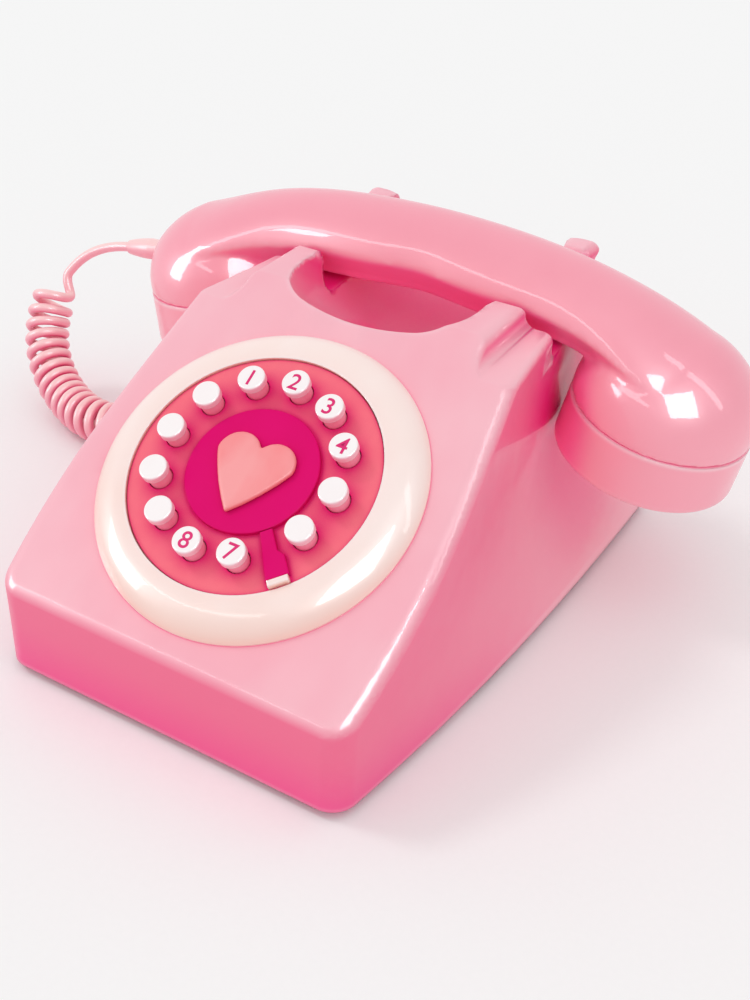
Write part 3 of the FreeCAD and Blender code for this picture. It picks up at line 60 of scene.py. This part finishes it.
def placed(name, data):
    """Puts a mesh, a light or a camera into the scene."""
    item = bpy.data.objects.new(name, data)
    bpy.context.scene.collection.objects.link(item)
    return item


camera = placed("viewpoint", camera_data)
camera.matrix_world = Matrix.Translation(view_place) @ Matrix(
    (view_right, view_up, view_back)).transposed().to_4x4()
bpy.context.scene.camera = camera

# The handset cord: one round cord with a soft vinyl jacket, wound hot on a rod so that it
# stays curled. It leaves the boot on the handset's left cup, hangs down to the table in one
# run of curls and goes round to the gland in the case's left side, out of sight.

cord_radius = 0.0020
curl_radius = 0.0074
curl_pitch = 0.0057
lead_length = 0.050
tail_length = 0.034
curl_entry = 0.012
curl_start = math.pi
cord_sides = 14
route_smoothness = 64
route_steps = 900
cord_steps = 720
cord_route = [
    (-0.14296, 0.061, 0.06856),
    (-0.15576, 0.061, 0.0663),
    (-0.1736, 0.059, 0.0547),
    (-0.1783, 0.0459, 0.0382),
    (-0.1717, 0.0338, 0.0217),
    (-0.1545, 0.0244, 0.0098),
    (-0.1274, 0.014, 0.0098),
    (-0.098, 0.020, 0.014),
    (-0.081, 0.020, 0.014),
]


def smooth_line(points, steps):
    """Points along the NURBS curve that has these control points."""
    curve = bpy.data.curves.new("line", "CURVE")
    curve.dimensions = "3D"
    curve.resolution_u = steps
    spline = curve.splines.new("NURBS")
    spline.points.add(len(points) - 1)
    for control, point in zip(spline.points, points):
        control.co = (*point, 1)
    spline.order_u = 3
    spline.use_endpoint_u = True
    holder = bpy.data.objects.new("line", curve)
    mesh = bpy.data.meshes.new_from_object(holder)
    found = [vertex.co.copy() for vertex in mesh.vertices]
    bpy.data.objects.remove(holder)
    bpy.data.curves.remove(curve)
    bpy.data.meshes.remove(mesh)
    return found


def line_length(points):
    """How long a line of points is."""
    return sum((end - start).length for start, end in zip(points, points[1:]))


def along(points, count):
    """So many even steps along a line, with both its ends."""
    step_length = line_length(points) / count
    found = [points[0].copy()]
    walked = 0.0
    for start, end in zip(points, points[1:]):
        run = (end - start).length
        while run and len(found) < count and len(found) * step_length <= walked + run:
            found.append(start.lerp(end, (len(found) * step_length - walked) / run))
        walked += run
    return found + [points[-1].copy()]


def turning_frames(points):
    """A pair of cross directions at each point, which don't spin about the line."""
    side = Vector((0, 0, 1))
    frames = []
    for i in range(len(points)):
        ahead = (points[min(i + 1, len(points) - 1)] - points[max(i - 1, 0)]).normalized()
        side = (side - ahead * side.dot(ahead)).normalized()
        frames.append((side, ahead.cross(side)))
    return frames


def smooth_share(value):
    """Goes gently from 0 to 1, and stays there."""
    value = min(max(value, 0.0), 1.0)
    return value * value * (3 - 2 * value)


def mesh_piece(name, vertices, faces):
    """A smoothly shaded piece with this mesh."""
    mesh = bpy.data.meshes.new(name)
    mesh.from_pydata(vertices, [], faces)
    mesh.shade_smooth()
    return placed(name, mesh)


def tube(name, points, radius, sides):
    """A round tube along points, closed at both ends."""
    vertices = []
    faces = []
    for point, (across, up) in zip(points, turning_frames(points)):
        for j in range(sides):
            turn = 2 * math.pi * j / sides
            vertices.append(point + (across * math.cos(turn) + up * math.sin(turn)) * radius)
    for i in range(len(points) - 1):
        for j in range(sides):
            after = (j + 1) % sides
            faces.append((i * sides + j, i * sides + after,
                          (i + 1) * sides + after, (i + 1) * sides + j))
    faces.append(tuple(reversed(range(sides))))
    faces.append(tuple(range((len(points) - 1) * sides, len(points) * sides)))
    return mesh_piece(name, vertices, faces)


route = along(smooth_line(cord_route, route_smoothness), route_steps)
route_length = line_length(route)
route_step = route_length / route_steps
cord_line = []
turn = curl_start
for i, (point, (across, up)) in enumerate(zip(route, turning_frames(route))):
    into_curls = (i * route_step - lead_length) / curl_entry + 1
    out_of_curls = (route_length - tail_length - i * route_step) / curl_entry + 1
    turn += (2 * math.pi * route_step / curl_pitch
             * smooth_share(into_curls - 0.5) * smooth_share(out_of_curls - 0.5))
    reach = curl_radius * smooth_share(into_curls) * smooth_share(out_of_curls)
    cord_line.append(point + (across * math.cos(turn) + up * math.sin(turn)) * reach)
cord_line = along(cord_line, cord_steps)
handset_cord = tube("curly_cord", cord_line, cord_radius, cord_sides)
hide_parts("handset_cord")
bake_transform(handset_cord)


def paint(red, green, blue):
    """A colour written as 0 to 255 on a screen, as the shader wants it."""
    return tuple(
        part / 12.92 if part <= 0.04045 else ((part + 0.055) / 1.055) ** 2.4
        for part in (red / 255, green / 255, blue / 255)) + (1.0,)


def step(tree, kind, inputs, **settings):
    """Adds a shader node, with its settings and what goes into it."""
    node = tree.nodes.new("ShaderNode" + kind)
    for name, value in settings.items():
        setattr(node, name, value)
    for name, value in inputs.items():
        if isinstance(value, bpy.types.NodeSocket):
            tree.links.new(value, node.inputs[name])
        else:
            node.inputs[name].default_value = value
    return node


def mixed(tree, share, under, over):
    """Lays one colour over another. Sockets 0, 6 and 7 of Mix are its share and colours."""
    node = step(tree, "Mix", {0: share, 6: under, 7: over}, data_type="RGBA")
    return node.outputs[2]


def spread(tree, value, low, high, to_low, to_high):
    """Takes a value from one range to another and keeps it in there."""
    node = step(tree, "MapRange", {"Value": value, "From Min": low, "From Max": high,
                                   "To Min": to_low, "To Max": to_high})
    return node.outputs["Result"]


def reckon(tree, operation, first, second):
    """One sum with two values."""
    return step(tree, "Math", {0: first, 1: second}, operation=operation).outputs[0]


def clouds(tree, place, size, detail=2.0):
    """Soft noise whose lumps are about this size, in metres."""
    node = step(tree, "TexNoise", {"Vector": place, "Scale": 1 / size, "Detail": detail})
    return node.outputs["Fac"]


def effect(name, inputs, outputs):
    """An empty shader group, with its named ways in and out."""
    group = bpy.data.node_groups.new(name, "ShaderNodeTree")
    for label, kind, start in inputs:
        socket = group.interface.new_socket(
            name=label, in_out="INPUT", socket_type="NodeSocket" + kind)
        socket.default_value = start
    for label, kind in outputs:
        group.interface.new_socket(
            name=label, in_out="OUTPUT", socket_type="NodeSocket" + kind)
    return group, group.nodes.new("NodeGroupInput").outputs


# Moulded plastic with painted light. Faces that look up take a painted top-light colour,
# mostly paler, and the others the plain colour. The colour clouds a little at random, painted
# shade deepens in creases, gaps and under things, and convex edges carry a pale painted
# highlight.

plastic_with_painted_light, given = effect(
    "plastic with painted light",
    [("Colour", "Color", (0.8, 0.3, 0.4, 1)), ("Top Light Colour", "Color", (0.9, 0.5, 0.6, 1)),
     ("Crease Shade Colour", "Color", (0.6, 0.02, 0.2, 1)), ("Crease Shade Amount", "Float", 0.8),
     ("Crease Shade Reach", "Float", 0.012), ("Crease Shade Start", "Float", 0.9),
     ("Cloud Amount", "Float", 0.3), ("Cloud Size", "Float", 0.03),
     ("Edge Highlight Amount", "Float", 0.3), ("Edge Highlight Reach", "Float", 0.002),
     ("Roughness", "Float", 0.3), ("Edge Round", "Float", 0.0008)],
    [("Colour", "Color"), ("Roughness", "Float"), ("Height", "Float"), ("Normal", "Vector")])
smear_size = 0.012
orange_peel_size = 0.0035
pore_size = 0.0012
pore_share = 0.1
# The pale colour of the painted highlight on convex edges.
edge_highlight_pale = (1.0, 0.93, 0.94, 1.0)
surface = step(plastic_with_painted_light, "TexCoord", {}).outputs
facing_up = step(plastic_with_painted_light, "SeparateXYZ", {0: surface["Normal"]}).outputs["Z"]
brushed_place = step(plastic_with_painted_light, "Mapping", {
    "Vector": surface["Object"], "Rotation": (0.5, 0.3, 0.6), "Scale": (1.0, 0.35, 1.0)})
cloud_scale = reckon(plastic_with_painted_light, "DIVIDE", 1.0, given["Cloud Size"])
cloud = step(plastic_with_painted_light, "TexNoise", {
    "Vector": brushed_place.outputs[0], "Scale": cloud_scale, "Detail": 3.0}).outputs["Fac"]
# Painted light: faces that look up take the top-light colour, the others the plain colour.
top_lit = mixed(plastic_with_painted_light, spread(plastic_with_painted_light, facing_up, 0.0, 0.8, 0.0, 1.0),
              given["Colour"], given["Top Light Colour"])
cloud_share = reckon(plastic_with_painted_light, "MULTIPLY",
                     spread(plastic_with_painted_light, cloud, 0.35, 0.65, 0.0, 1.0), given["Cloud Amount"])
clouded = mixed(plastic_with_painted_light, cloud_share, top_lit, given["Colour"])
# Painted shade: where ambient occlusion finds the surface sheltered, the crease shade colour
# is laid over it.
crease_shade_occlusion = step(plastic_with_painted_light, "AmbientOcclusion", {"Distance": given["Crease Shade Reach"]},
               samples=20).outputs["AO"]
crease_shade_share = reckon(plastic_with_painted_light, "MULTIPLY",
                      spread(plastic_with_painted_light, crease_shade_occlusion, given["Crease Shade Start"], 0.3, 0.0, 1.0),
                      given["Crease Shade Amount"])
crease_shaded = mixed(plastic_with_painted_light, crease_shade_share, clouded, given["Crease Shade Colour"])
# Painted highlight: convex edges, found by occlusion from inside, are laid over with a pale
# colour.
edge_highlight_mask = step(plastic_with_painted_light, "AmbientOcclusion", {"Distance": given["Edge Highlight Reach"]}, samples=8,
              inside=True, only_local=True).outputs["AO"]
edge_highlight_share = reckon(plastic_with_painted_light, "MULTIPLY",
                      spread(plastic_with_painted_light, edge_highlight_mask, 0.98, 0.75, 0.0, 1.0), given["Edge Highlight Amount"])
finished = mixed(plastic_with_painted_light, edge_highlight_share, crease_shaded, edge_highlight_pale)
smears = clouds(plastic_with_painted_light, surface["Object"], smear_size, detail=4.0)
worn_roughness = reckon(plastic_with_painted_light, "ADD", given["Roughness"],
                        spread(plastic_with_painted_light, smears, 0.35, 0.70, -0.03, 0.07))
orange_peel = clouds(plastic_with_painted_light, surface["Object"], orange_peel_size)
pores = clouds(plastic_with_painted_light, surface["Object"], pore_size)
relief = reckon(plastic_with_painted_light, "ADD", orange_peel,
                reckon(plastic_with_painted_light, "MULTIPLY", pores, pore_share))
rounding = step(plastic_with_painted_light, "Bevel", {"Radius": given["Edge Round"]}, samples=6)
ways_out = plastic_with_painted_light.nodes.new("NodeGroupOutput").inputs
for label, value in {"Colour": finished, "Roughness": worn_roughness, "Height": relief,
                     "Normal": rounding.outputs["Normal"]}.items():
    plastic_with_painted_light.links.new(value, ways_out[label])


def new_material(name):
    """A material with its nodes and its shader."""
    material = bpy.data.materials.new(name)
    material.use_nodes = True
    return material, material.node_tree, material.node_tree.nodes["Principled BSDF"]


def moulding(name, colour, top_light, crease_shade, crease_shade_amount=0.8, crease_shade_reach=0.012,
             crease_shade_start=0.9, cloud_amount=0.3, cloud_size=0.03, edge_highlight_amount=0.0,
             edge_highlight_reach=0.002, edge_round=0.0008, roughness=0.34, coat=0.3,
             coat_roughness=0.05, gloss=0.25, relief_depth=0.00002):
    """A piece moulded in plastic or rubber, with painted top light, painted crease shade and a
    painted edge highlight in its colour.
    """
    material, tree, shader = new_material(name)
    plastic = step(tree, "Group", {}, node_tree=plastic_with_painted_light)
    for label, value in {
            "Colour": paint(*colour), "Top Light Colour": paint(*top_light),
            "Crease Shade Colour": paint(*crease_shade), "Crease Shade Amount": crease_shade_amount,
            "Crease Shade Reach": crease_shade_reach, "Crease Shade Start": crease_shade_start,
            "Cloud Amount": cloud_amount, "Cloud Size": cloud_size,
            "Edge Highlight Amount": edge_highlight_amount, "Edge Highlight Reach": edge_highlight_reach,
            "Edge Round": edge_round, "Roughness": roughness}.items():
        plastic.inputs[label].default_value = value
    bump = step(tree, "Bump", {
        "Height": plastic.outputs["Height"], "Normal": plastic.outputs["Normal"],
        "Strength": 1.0, "Distance": relief_depth})
    tree.links.new(plastic.outputs["Colour"], shader.inputs["Base Color"])
    tree.links.new(plastic.outputs["Roughness"], shader.inputs["Roughness"])
    tree.links.new(bump.outputs["Normal"], shader.inputs["Normal"])
    shader.inputs["Specular IOR Level"].default_value = gloss
    shader.inputs["Coat Weight"].default_value = coat
    shader.inputs["Coat Roughness"].default_value = coat_roughness
    return material


# Painted light and shade: paler where the cord faces up, deeper pink painted shade between the
# curls.
cord_vinyl = moulding(
    "cord_vinyl", colour=(253, 176, 190), top_light=(255, 218, 216), crease_shade=(234, 60, 130),
    crease_shade_amount=0.9, crease_shade_reach=0.005, cloud_amount=0.25, cloud_size=0.02,
    roughness=0.42, edge_round=0.0002, coat=0.2, coat_roughness=0.2)
handset_cord.data.materials.append(cord_vinyl)

# The case: one hollow shell moulded in glossy pink plastic, open underneath. Its flared skirt
# turns upright to four horns, which keep the handset in its cradle over the finger scoop. The
# two rear horns stand a little higher and wider, as knobs behind the handle.


def stands_for(piece, node, body, finish):
    """Puts a reworked piece in the place of the plain one."""
    piece.data.materials.clear()
    piece.data.materials.append(finish)
    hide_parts(node)
    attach(piece, body)


def ramp(value, ends):
    """None before the first end, all past the second, and gently more in between."""
    return smooth_share((value - ends[0]) / (ends[1] - ends[0]))


# Painted light and shade: a pale top face, deeper sides, and magenta painted shade in the
# scoop, under the handset and round the ring.
case_pink = moulding(
    "case_pink", colour=(246, 108, 146), top_light=(251, 188, 200), crease_shade=(250, 36, 146),
    crease_shade_amount=1.0, crease_shade_reach=0.045, crease_shade_start=0.82, cloud_amount=0.2,
    cloud_size=0.035, edge_highlight_amount=0.12, edge_round=0.0012)
knob_lift = 0.0030
knob_spread = 0.0034
knob_from_front = (0.082, 0.088)
knob_from_shoulder = (0.0958, 0.1015)
knob_from_middle = (0.026, 0.038)
weld_reach = 0.00001
case_crisp_edge = math.radians(38)
case_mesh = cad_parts["case"].data.copy()
join = bmesh.new()
join.from_mesh(case_mesh)
bmesh.ops.remove_doubles(join, verts=join.verts, dist=weld_reach)
for vertex in join.verts:
    side = math.copysign(1, vertex.co.x)
    share = (ramp(vertex.co.y, knob_from_front) * ramp(vertex.co.z, knob_from_shoulder)
             * ramp(abs(vertex.co.x), knob_from_middle))
    vertex.co += Vector((side * knob_spread, 0, knob_lift)) * share
join.to_mesh(case_mesh)
join.free()
case_mesh.shade_smooth()
case_mesh.set_sharp_from_angle(angle=case_crisp_edge)
case_moulding = placed("case_moulding", case_mesh)
even_shading = case_moulding.modifiers.new("even_shading", "WEIGHTED_NORMAL")
even_shading.keep_sharp = True
stands_for(case_moulding, "case", "base", case_pink)

# The base plate: a flat plate of matt pink plastic that closes the case. Four steel screws
# hold it to the case's bosses, four rubber feet are pressed into it, and a heavy steel
# weight inside keeps the light telephone from sliding when its keys are pressed.

crisp_edge = math.radians(32)


def dress(finish, *names):
    """Gives pieces of the telephone their finish, with soft shading and crisp edges."""
    for name in names:
        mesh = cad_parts[name].data
        mesh.materials.clear()
        mesh.materials.append(finish)
        mesh.shade_smooth()
        mesh.set_sharp_from_angle(angle=crisp_edge)


base_pink = moulding(
    "base_pink", colour=(226, 128, 150), top_light=(232, 150, 168), crease_shade=(190, 50, 110),
    crease_shade_amount=0.6, cloud_amount=0.3, roughness=0.55, coat=0.0, relief_depth=0.00012)
dress(base_pink, "base_plate")
foot_rubber = moulding(
    "foot_rubber", colour=(176, 78, 104), top_light=(186, 92, 116), crease_shade=(110, 30, 60),
    crease_shade_amount=0.7, cloud_amount=0.4, cloud_size=0.008, roughness=0.75, coat=0.0,
    relief_depth=0.00015)
dress(foot_rubber, "rubber_feet")

# Bright steel, of which the screws, the weight and the hook are made. Rolling or turning drew
# its grain one way, and a little grey tarnish sits in it.

drawn_metal, given = effect(
    "drawn metal",
    [("Colour", "Color", (0.6, 0.6, 0.62, 1)), ("Grain Size", "Float", 0.0006),
     ("Roughness", "Float", 0.3)],
    [("Colour", "Color"), ("Roughness", "Float"), ("Height", "Float")])
tarnish_size = 0.006
grain_depth = 0.00003
tarnish_grey = (0.30, 0.29, 0.29, 1.0)
surface = step(drawn_metal, "TexCoord", {}).outputs
grain_place = step(drawn_metal, "Mapping", {"Vector": surface["Object"],
                                            "Scale": (0.08, 1.0, 1.0)})
grain_scale = reckon(drawn_metal, "DIVIDE", 1.0, given["Grain Size"])
grain = step(drawn_metal, "TexNoise", {
    "Vector": grain_place.outputs[0], "Scale": grain_scale, "Detail": 3.0}).outputs["Fac"]
tarnish = clouds(drawn_metal, surface["Object"], tarnish_size, detail=3.0)
greyed = mixed(drawn_metal, spread(drawn_metal, tarnish, 0.4, 0.7, 0.0, 0.35),
               given["Colour"], tarnish_grey)
grain_roughness = reckon(drawn_metal, "ADD", given["Roughness"],
                         spread(drawn_metal, grain, 0.3, 0.7, -0.08, 0.12))
ways_out = drawn_metal.nodes.new("NodeGroupOutput").inputs
for label, value in {"Colour": greyed, "Roughness": grain_roughness, "Height": grain}.items():
    drawn_metal.links.new(value, ways_out[label])


def bright_metal(name, colour, grain_size, roughness):
    """Bare steel, as drawn wire or as rolled sheet."""
    material, tree, shader = new_material(name)
    metal = step(tree, "Group", {}, node_tree=drawn_metal)
    metal.inputs["Colour"].default_value = paint(*colour)
    metal.inputs["Grain Size"].default_value = grain_size
    metal.inputs["Roughness"].default_value = roughness
    bump = step(tree, "Bump", {"Height": metal.outputs["Height"], "Distance": grain_depth})
    tree.links.new(metal.outputs["Colour"], shader.inputs["Base Color"])
    tree.links.new(metal.outputs["Roughness"], shader.inputs["Roughness"])
    tree.links.new(bump.outputs["Normal"], shader.inputs["Normal"])
    shader.inputs["Metallic"].default_value = 1.0
    return material


screw_steel = bright_metal("screw_steel", colour=(206, 206, 210), grain_size=0.0004,
                           roughness=0.28)
sheet_steel = bright_metal("sheet_steel", colour=(198, 200, 204), grain_size=0.0008,
                           roughness=0.38)
dress(screw_steel, "base_screws")
dress(sheet_steel, "ballast_weight")

# The bezel ring: a cream ring that drops into the face, domed towards its outer edge. A
# plain black ring screwed on from inside clamps it to the case.

# Painted light and shade: paler where the ring faces up, a peach painted shade at its edges.
ring_cream = moulding(
    "ring_cream", colour=(250, 212, 200), top_light=(254, 235, 230), crease_shade=(250, 176, 158),
    crease_shade_amount=0.8, crease_shade_reach=0.014, cloud_amount=0.35, cloud_size=0.03,
    edge_highlight_amount=0.3, edge_highlight_reach=0.001, edge_round=0.0006)
dress(ring_cream, "dial_ring")
black_plastic = moulding(
    "black_plastic", colour=(40, 38, 42), top_light=(48, 46, 50), crease_shade=(14, 12, 16),
    cloud_amount=0.4, roughness=0.45, coat=0.1)
dress(black_plastic, "dial_clamp")

# The dial plate: a coral disc that rests on the ring's ledge, with a round hole for each
# key. The magenta disc in its middle and the padded heart are glued on, and the stop, left
# from finger dials, runs from the disc to a cream tip at the ring.


def softened(name, node, body, voxel, rounds, finish):
    """The same piece with its edges and inner corners worn soft, as a mould leaves them."""
    draft = placed(name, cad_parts[node].data.copy())
    skin = draft.modifiers.new("skin", "REMESH")
    skin.mode = "VOXEL"
    skin.voxel_size = voxel
    wear = draft.modifiers.new("wear", "SMOOTH")
    wear.factor = 0.5
    wear.iterations = rounds
    shaped = bpy.data.meshes.new_from_object(
        draft.evaluated_get(bpy.context.evaluated_depsgraph_get()))
    bpy.data.objects.remove(draft)
    shaped.shade_smooth()
    stands_for(placed(name, shaped), node, body, finish)


# Painted shade: strong magenta round the keys' feet, standing in for their shadows on the
# plate.
dial_coral = moulding(
    "dial_coral", colour=(252, 106, 130), top_light=(254, 124, 136), crease_shade=(226, 0, 112),
    crease_shade_amount=1.8, crease_shade_reach=0.012, crease_shade_start=0.92, cloud_amount=0.4,
    cloud_size=0.02, edge_round=0.0004, roughness=0.45, coat=0.0, gloss=0.15)
dress(dial_coral, "dial_plate")
disc_magenta = moulding(
    "disc_magenta", colour=(222, 10, 108), top_light=(228, 12, 114), crease_shade=(180, 0, 84),
    crease_shade_amount=0.5, crease_shade_reach=0.006, cloud_amount=0.5, cloud_size=0.015,
    edge_round=0.0004, roughness=0.50, coat=0.0, gloss=0.03)
dress(disc_magenta, "hub_disc", "finger_stop")
dress(ring_cream, "finger_stop_tip")
heart_pink = moulding(
    "heart_pink", colour=(250, 136, 140), top_light=(252, 164, 166), crease_shade=(236, 60, 116),
    crease_shade_amount=0.7, crease_shade_reach=0.004, cloud_amount=0.7, cloud_size=0.014,
    edge_round=0.0002, roughness=0.45, coat=0.05, coat_roughness=0.2, gloss=0.15)
softened("heart_pad", "heart_badge", "base", voxel=0.0004, rounds=40, finish=heart_pink)

# The keys: twelve white buttons in an arc, on a rubber mat over the keypad's board. Six of
# them carry a plain number, printed raised in magenta ink; the others are bare.

dial_centre = Vector((0, -0.0528, 0.0664))
face_slope = math.radians(31.1)
face_right = Vector((1, 0, 0))
face_up = Vector((0, math.cos(face_slope), math.sin(face_slope)))
face_out = face_right.cross(face_up)
key_circle = 0.0299
key_top = 0.0136
digit_size = 0.0078
digit_bold = 0.00007
digit_sunk = 0.00004
digit_thick = 0.00007
digit_fall = 0.36
printed_keys = {"key_01": ("1", 332.5), "key_02": ("2", 1.5), "key_03": ("3", 30.5),
                "key_04": ("4", 59.5), "key_07": ("7", 158.5), "key_08": ("8", 187.5)}
# Painted light and shade: white tops, pink painted shade on the sides and round the feet.
key_white = moulding(
    "key_white", colour=(248, 196, 208), top_light=(254, 248, 248), crease_shade=(246, 96, 144),
    crease_shade_amount=1.0, crease_shade_reach=0.008, crease_shade_start=0.95, cloud_amount=0.06,
    cloud_size=0.01, edge_highlight_amount=0.3, edge_highlight_reach=0.001, edge_round=0.0006, coat=0.4)
dress(key_white, *["key_%02d" % number for number in range(1, 13)])
number_ink = moulding(
    "number_ink", colour=(220, 16, 108), top_light=(224, 18, 112), crease_shade=(170, 0, 80),
    crease_shade_amount=0.3, crease_shade_reach=0.001, cloud_amount=0.4, cloud_size=0.002,
    edge_round=0.00005, roughness=0.5, coat=0.0, relief_depth=0.00001)


def printed_number(number, key, clock):
    """A number on a key's top, upright on the dial."""
    text = bpy.data.curves.new("number", "FONT")
    text.body = number
    text.size = digit_size
    text.align_x = "CENTER"
    text.extrude = digit_thick
    text.offset = digit_bold
    text.resolution_u = 6
    holder = bpy.data.objects.new("number", text)
    mesh = bpy.data.meshes.new_from_object(holder)
    bpy.data.objects.remove(holder)
    angle = math.radians(clock)
    middle = (dial_centre + face_right * (key_circle * math.sin(angle))
              + face_up * (key_circle * math.cos(angle)) + face_out * (key_top - digit_sunk)
              - face_up * (digit_size * digit_fall))
    upright = Matrix((face_right, face_up, face_out)).transposed().to_4x4()
    mesh.transform(Matrix.Translation(middle) @ upright)
    mesh.materials.clear()
    mesh.materials.append(number_ink)
    piece = placed("number_on_" + key, mesh)
    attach(piece, key)


for key, (number, clock) in printed_keys.items():
    printed_number(number, key, clock)
# Painted shade: magenta in the gaps round the keys, where the mat shows through.
mat_rubber = moulding(
    "mat_rubber", colour=(182, 180, 178), top_light=(196, 194, 192), crease_shade=(214, 20, 100),
    crease_shade_amount=1.0, crease_shade_reach=0.004, cloud_amount=0.3, cloud_size=0.006,
    roughness=0.7, coat=0.0)
dress(mat_rubber, "keypad_mat")

# The circuit boards: glass-fibre boards under green lacquer, with copper tracks that shimmer
# through it. Small steel screws hold the round one behind the dial, the other on posts.

pad_tin = (196, 190, 170)
track_depth = 0.00004


def circuit_board(name, track_pitch):
    """Green lacquer with tracks, and tinned pads here and there."""
    material, tree, shader = new_material(name)
    place = step(tree, "TexCoord", {}).outputs["Object"]
    tracks = step(tree, "TexBrick", {
        "Vector": place, "Color1": paint(34, 112, 66), "Color2": paint(26, 92, 54),
        "Mortar": paint(62, 150, 88), "Scale": 1 / track_pitch, "Mortar Size": 0.05,
        "Mortar Smooth": 0.3})
    pads = step(tree, "TexVoronoi", {"Vector": place, "Scale": 0.6 / track_pitch})
    pad_share = spread(tree, pads.outputs["Distance"], 0.16, 0.12, 0.0, 1.0)
    coloured = mixed(tree, pad_share, tracks.outputs["Color"], paint(*pad_tin))
    bump = step(tree, "Bump", {"Height": tracks.outputs["Fac"], "Distance": track_depth})
    tree.links.new(coloured, shader.inputs["Base Color"])
    tree.links.new(spread(tree, pad_share, 0.0, 1.0, 0.38, 0.22), shader.inputs["Roughness"])
    tree.links.new(bump.outputs["Normal"], shader.inputs["Normal"])
    shader.inputs["Coat Weight"].default_value = 0.3
    return material


board_green = circuit_board("board_green", track_pitch=0.004)
dress(board_green, "keypad_board", "main_board")
dress(screw_steel, "keypad_screws", "main_board_screws")
dress(black_plastic, "ringer", "board_chip")

# The handset: a hollow moulded handle that runs into two leaning cups. A screw cap with a
# rosette of sound holes closes each cup, over the receiver on one side and the microphone
# on the other, and a vinyl boot holds the cord where it leaves the left cup.

# Painted shade: magenta under the handle and where the cups meet it.
handset_pink = moulding(
    "handset_pink", colour=(255, 170, 186), top_light=(249, 158, 176), crease_shade=(254, 80, 166),
    crease_shade_amount=0.65, crease_shade_reach=0.045, crease_shade_start=0.56, cloud_amount=0.3,
    cloud_size=0.03, edge_highlight_amount=0.3, edge_round=0.0014, coat=0.45, coat_roughness=0.03)
softened("handset_moulding", "handset_shell", "handset", voxel=0.0010, rounds=14,
         finish=handset_pink)
dress(handset_pink, "ear_cap", "mouth_cap")
dress(black_plastic, "receiver_capsule", "microphone_capsule")
dress(cord_vinyl, "handset_boot")

# The hook: the handset's weight keeps two plungers down on a sheet-steel lever. When it is
# lifted they rise, and the lever turns on its pin and lets the switch's button go.

dress(case_pink, "plunger_left", "plunger_right")
dress(sheet_steel, "hook_lever", "hook_bracket")
dress(screw_steel, "hook_pin")
dress(black_plastic, "hook_switch")

# The line socket: a black moulded socket in the back, for a small telephone plug. The gland,
# soft vinyl with a flange, grips the handset cord where it goes into the case's left side.

dress(black_plastic, "line_socket")
dress(cord_vinyl, "cord_gland")

# The floor and the light: a white sheet of card under an even, bright sky, with a soft sun
# from the left. Two white windows and two narrow strips show in the gloss as highlights, and
# light nothing else.

floor_size = 4.0
fibre_size = 0.002
card_white = (0.93, 0.93, 0.93, 1.0)
fibre_white = (0.95, 0.95, 0.95, 1.0)
floor = mesh_piece("floor", [
    (-floor_size, -floor_size, 0), (floor_size, -floor_size, 0),
    (floor_size, floor_size, 0), (-floor_size, floor_size, 0)], [(0, 1, 2, 3)])
card, tree, shader = new_material("white_card")
fibres = clouds(tree, step(tree, "TexCoord", {}).outputs["Object"], fibre_size, detail=3.0)
tree.links.new(mixed(tree, fibres, card_white, fibre_white), shader.inputs["Base Color"])
shader.inputs["Roughness"].default_value = 1.0
shader.inputs["Specular IOR Level"].default_value = 0.0
floor.data.materials.append(card)


def aimed(name, light, place, target):
    """Puts a light at a place, looking at its target."""
    item = placed(name, light)
    item.location = place
    item.rotation_mode = "QUATERNION"
    item.rotation_quaternion = (Vector(target) - Vector(place)).to_track_quat("-Z", "Y")
    return item


def window_panel(name, place, target, width, height, strength):
    """A white panel that shows in glossy surfaces and lights nothing else."""
    light = bpy.data.lights.new(name, "AREA")
    light.shape = "RECTANGLE"
    light.size = width
    light.size_y = height
    light.energy = strength * width * height * math.pi
    panel = aimed(name, light, place, target)
    panel.visible_camera = False
    panel.visible_diffuse = False
    panel.visible_transmission = False


sun_side = (-0.62, -0.12, 0.77)
sun = bpy.data.lights.new("soft_sun", "SUN")
sun.energy = 0.4
sun.angle = math.radians(12)
aimed("soft_sun", sun, sun_side, (0, 0, 0)).visible_glossy = False


def bearing(turn_deg, rise_deg, distance):
    """A place so far away, turned round from the telephone's front and up from the table."""
    turn_to, rise = math.radians(turn_deg), math.radians(rise_deg)
    return Vector((math.sin(turn_to) * math.cos(rise), -math.cos(turn_to) * math.cos(rise),
                   math.sin(rise))) * distance


panel_distance = 1.5
cups = Vector((0, 0.061, 0.08))
window_panel("right_window", cups + bearing(46, 39, panel_distance), target=cups,
             width=0.9, height=0.9, strength=24)
window_panel("left_window", cups + bearing(-53, 15, panel_distance), target=cups,
             width=0.52, height=0.78, strength=22)
window_panel("edge_strip", bearing(98, 46, panel_distance), target=(0, 0, 0.05),
             width=0.16, height=1.2, strength=8)
window_panel("front_strip", bearing(-27, 38, panel_distance), target=(0, 0, 0.03),
             width=1.2, height=0.12, strength=8)
sky = bpy.data.worlds.new("bright_sky")
bpy.context.scene.world = sky
sky.use_nodes = True
sky_light = sky.node_tree.nodes["Background"]
sky_light.inputs["Color"].default_value = (1, 1, 1, 1)
sky_strength = 0.88
sky_seen = 0.94
camera_ray = step(sky.node_tree, "LightPath", {}).outputs["Is Camera Ray"]
sky.node_tree.links.new(spread(sky.node_tree, camera_ray, 0.0, 1.0, sky_strength, sky_seen),
                        sky_light.inputs["Strength"])
bpy.context.scene.view_settings.view_transform = "Standard"
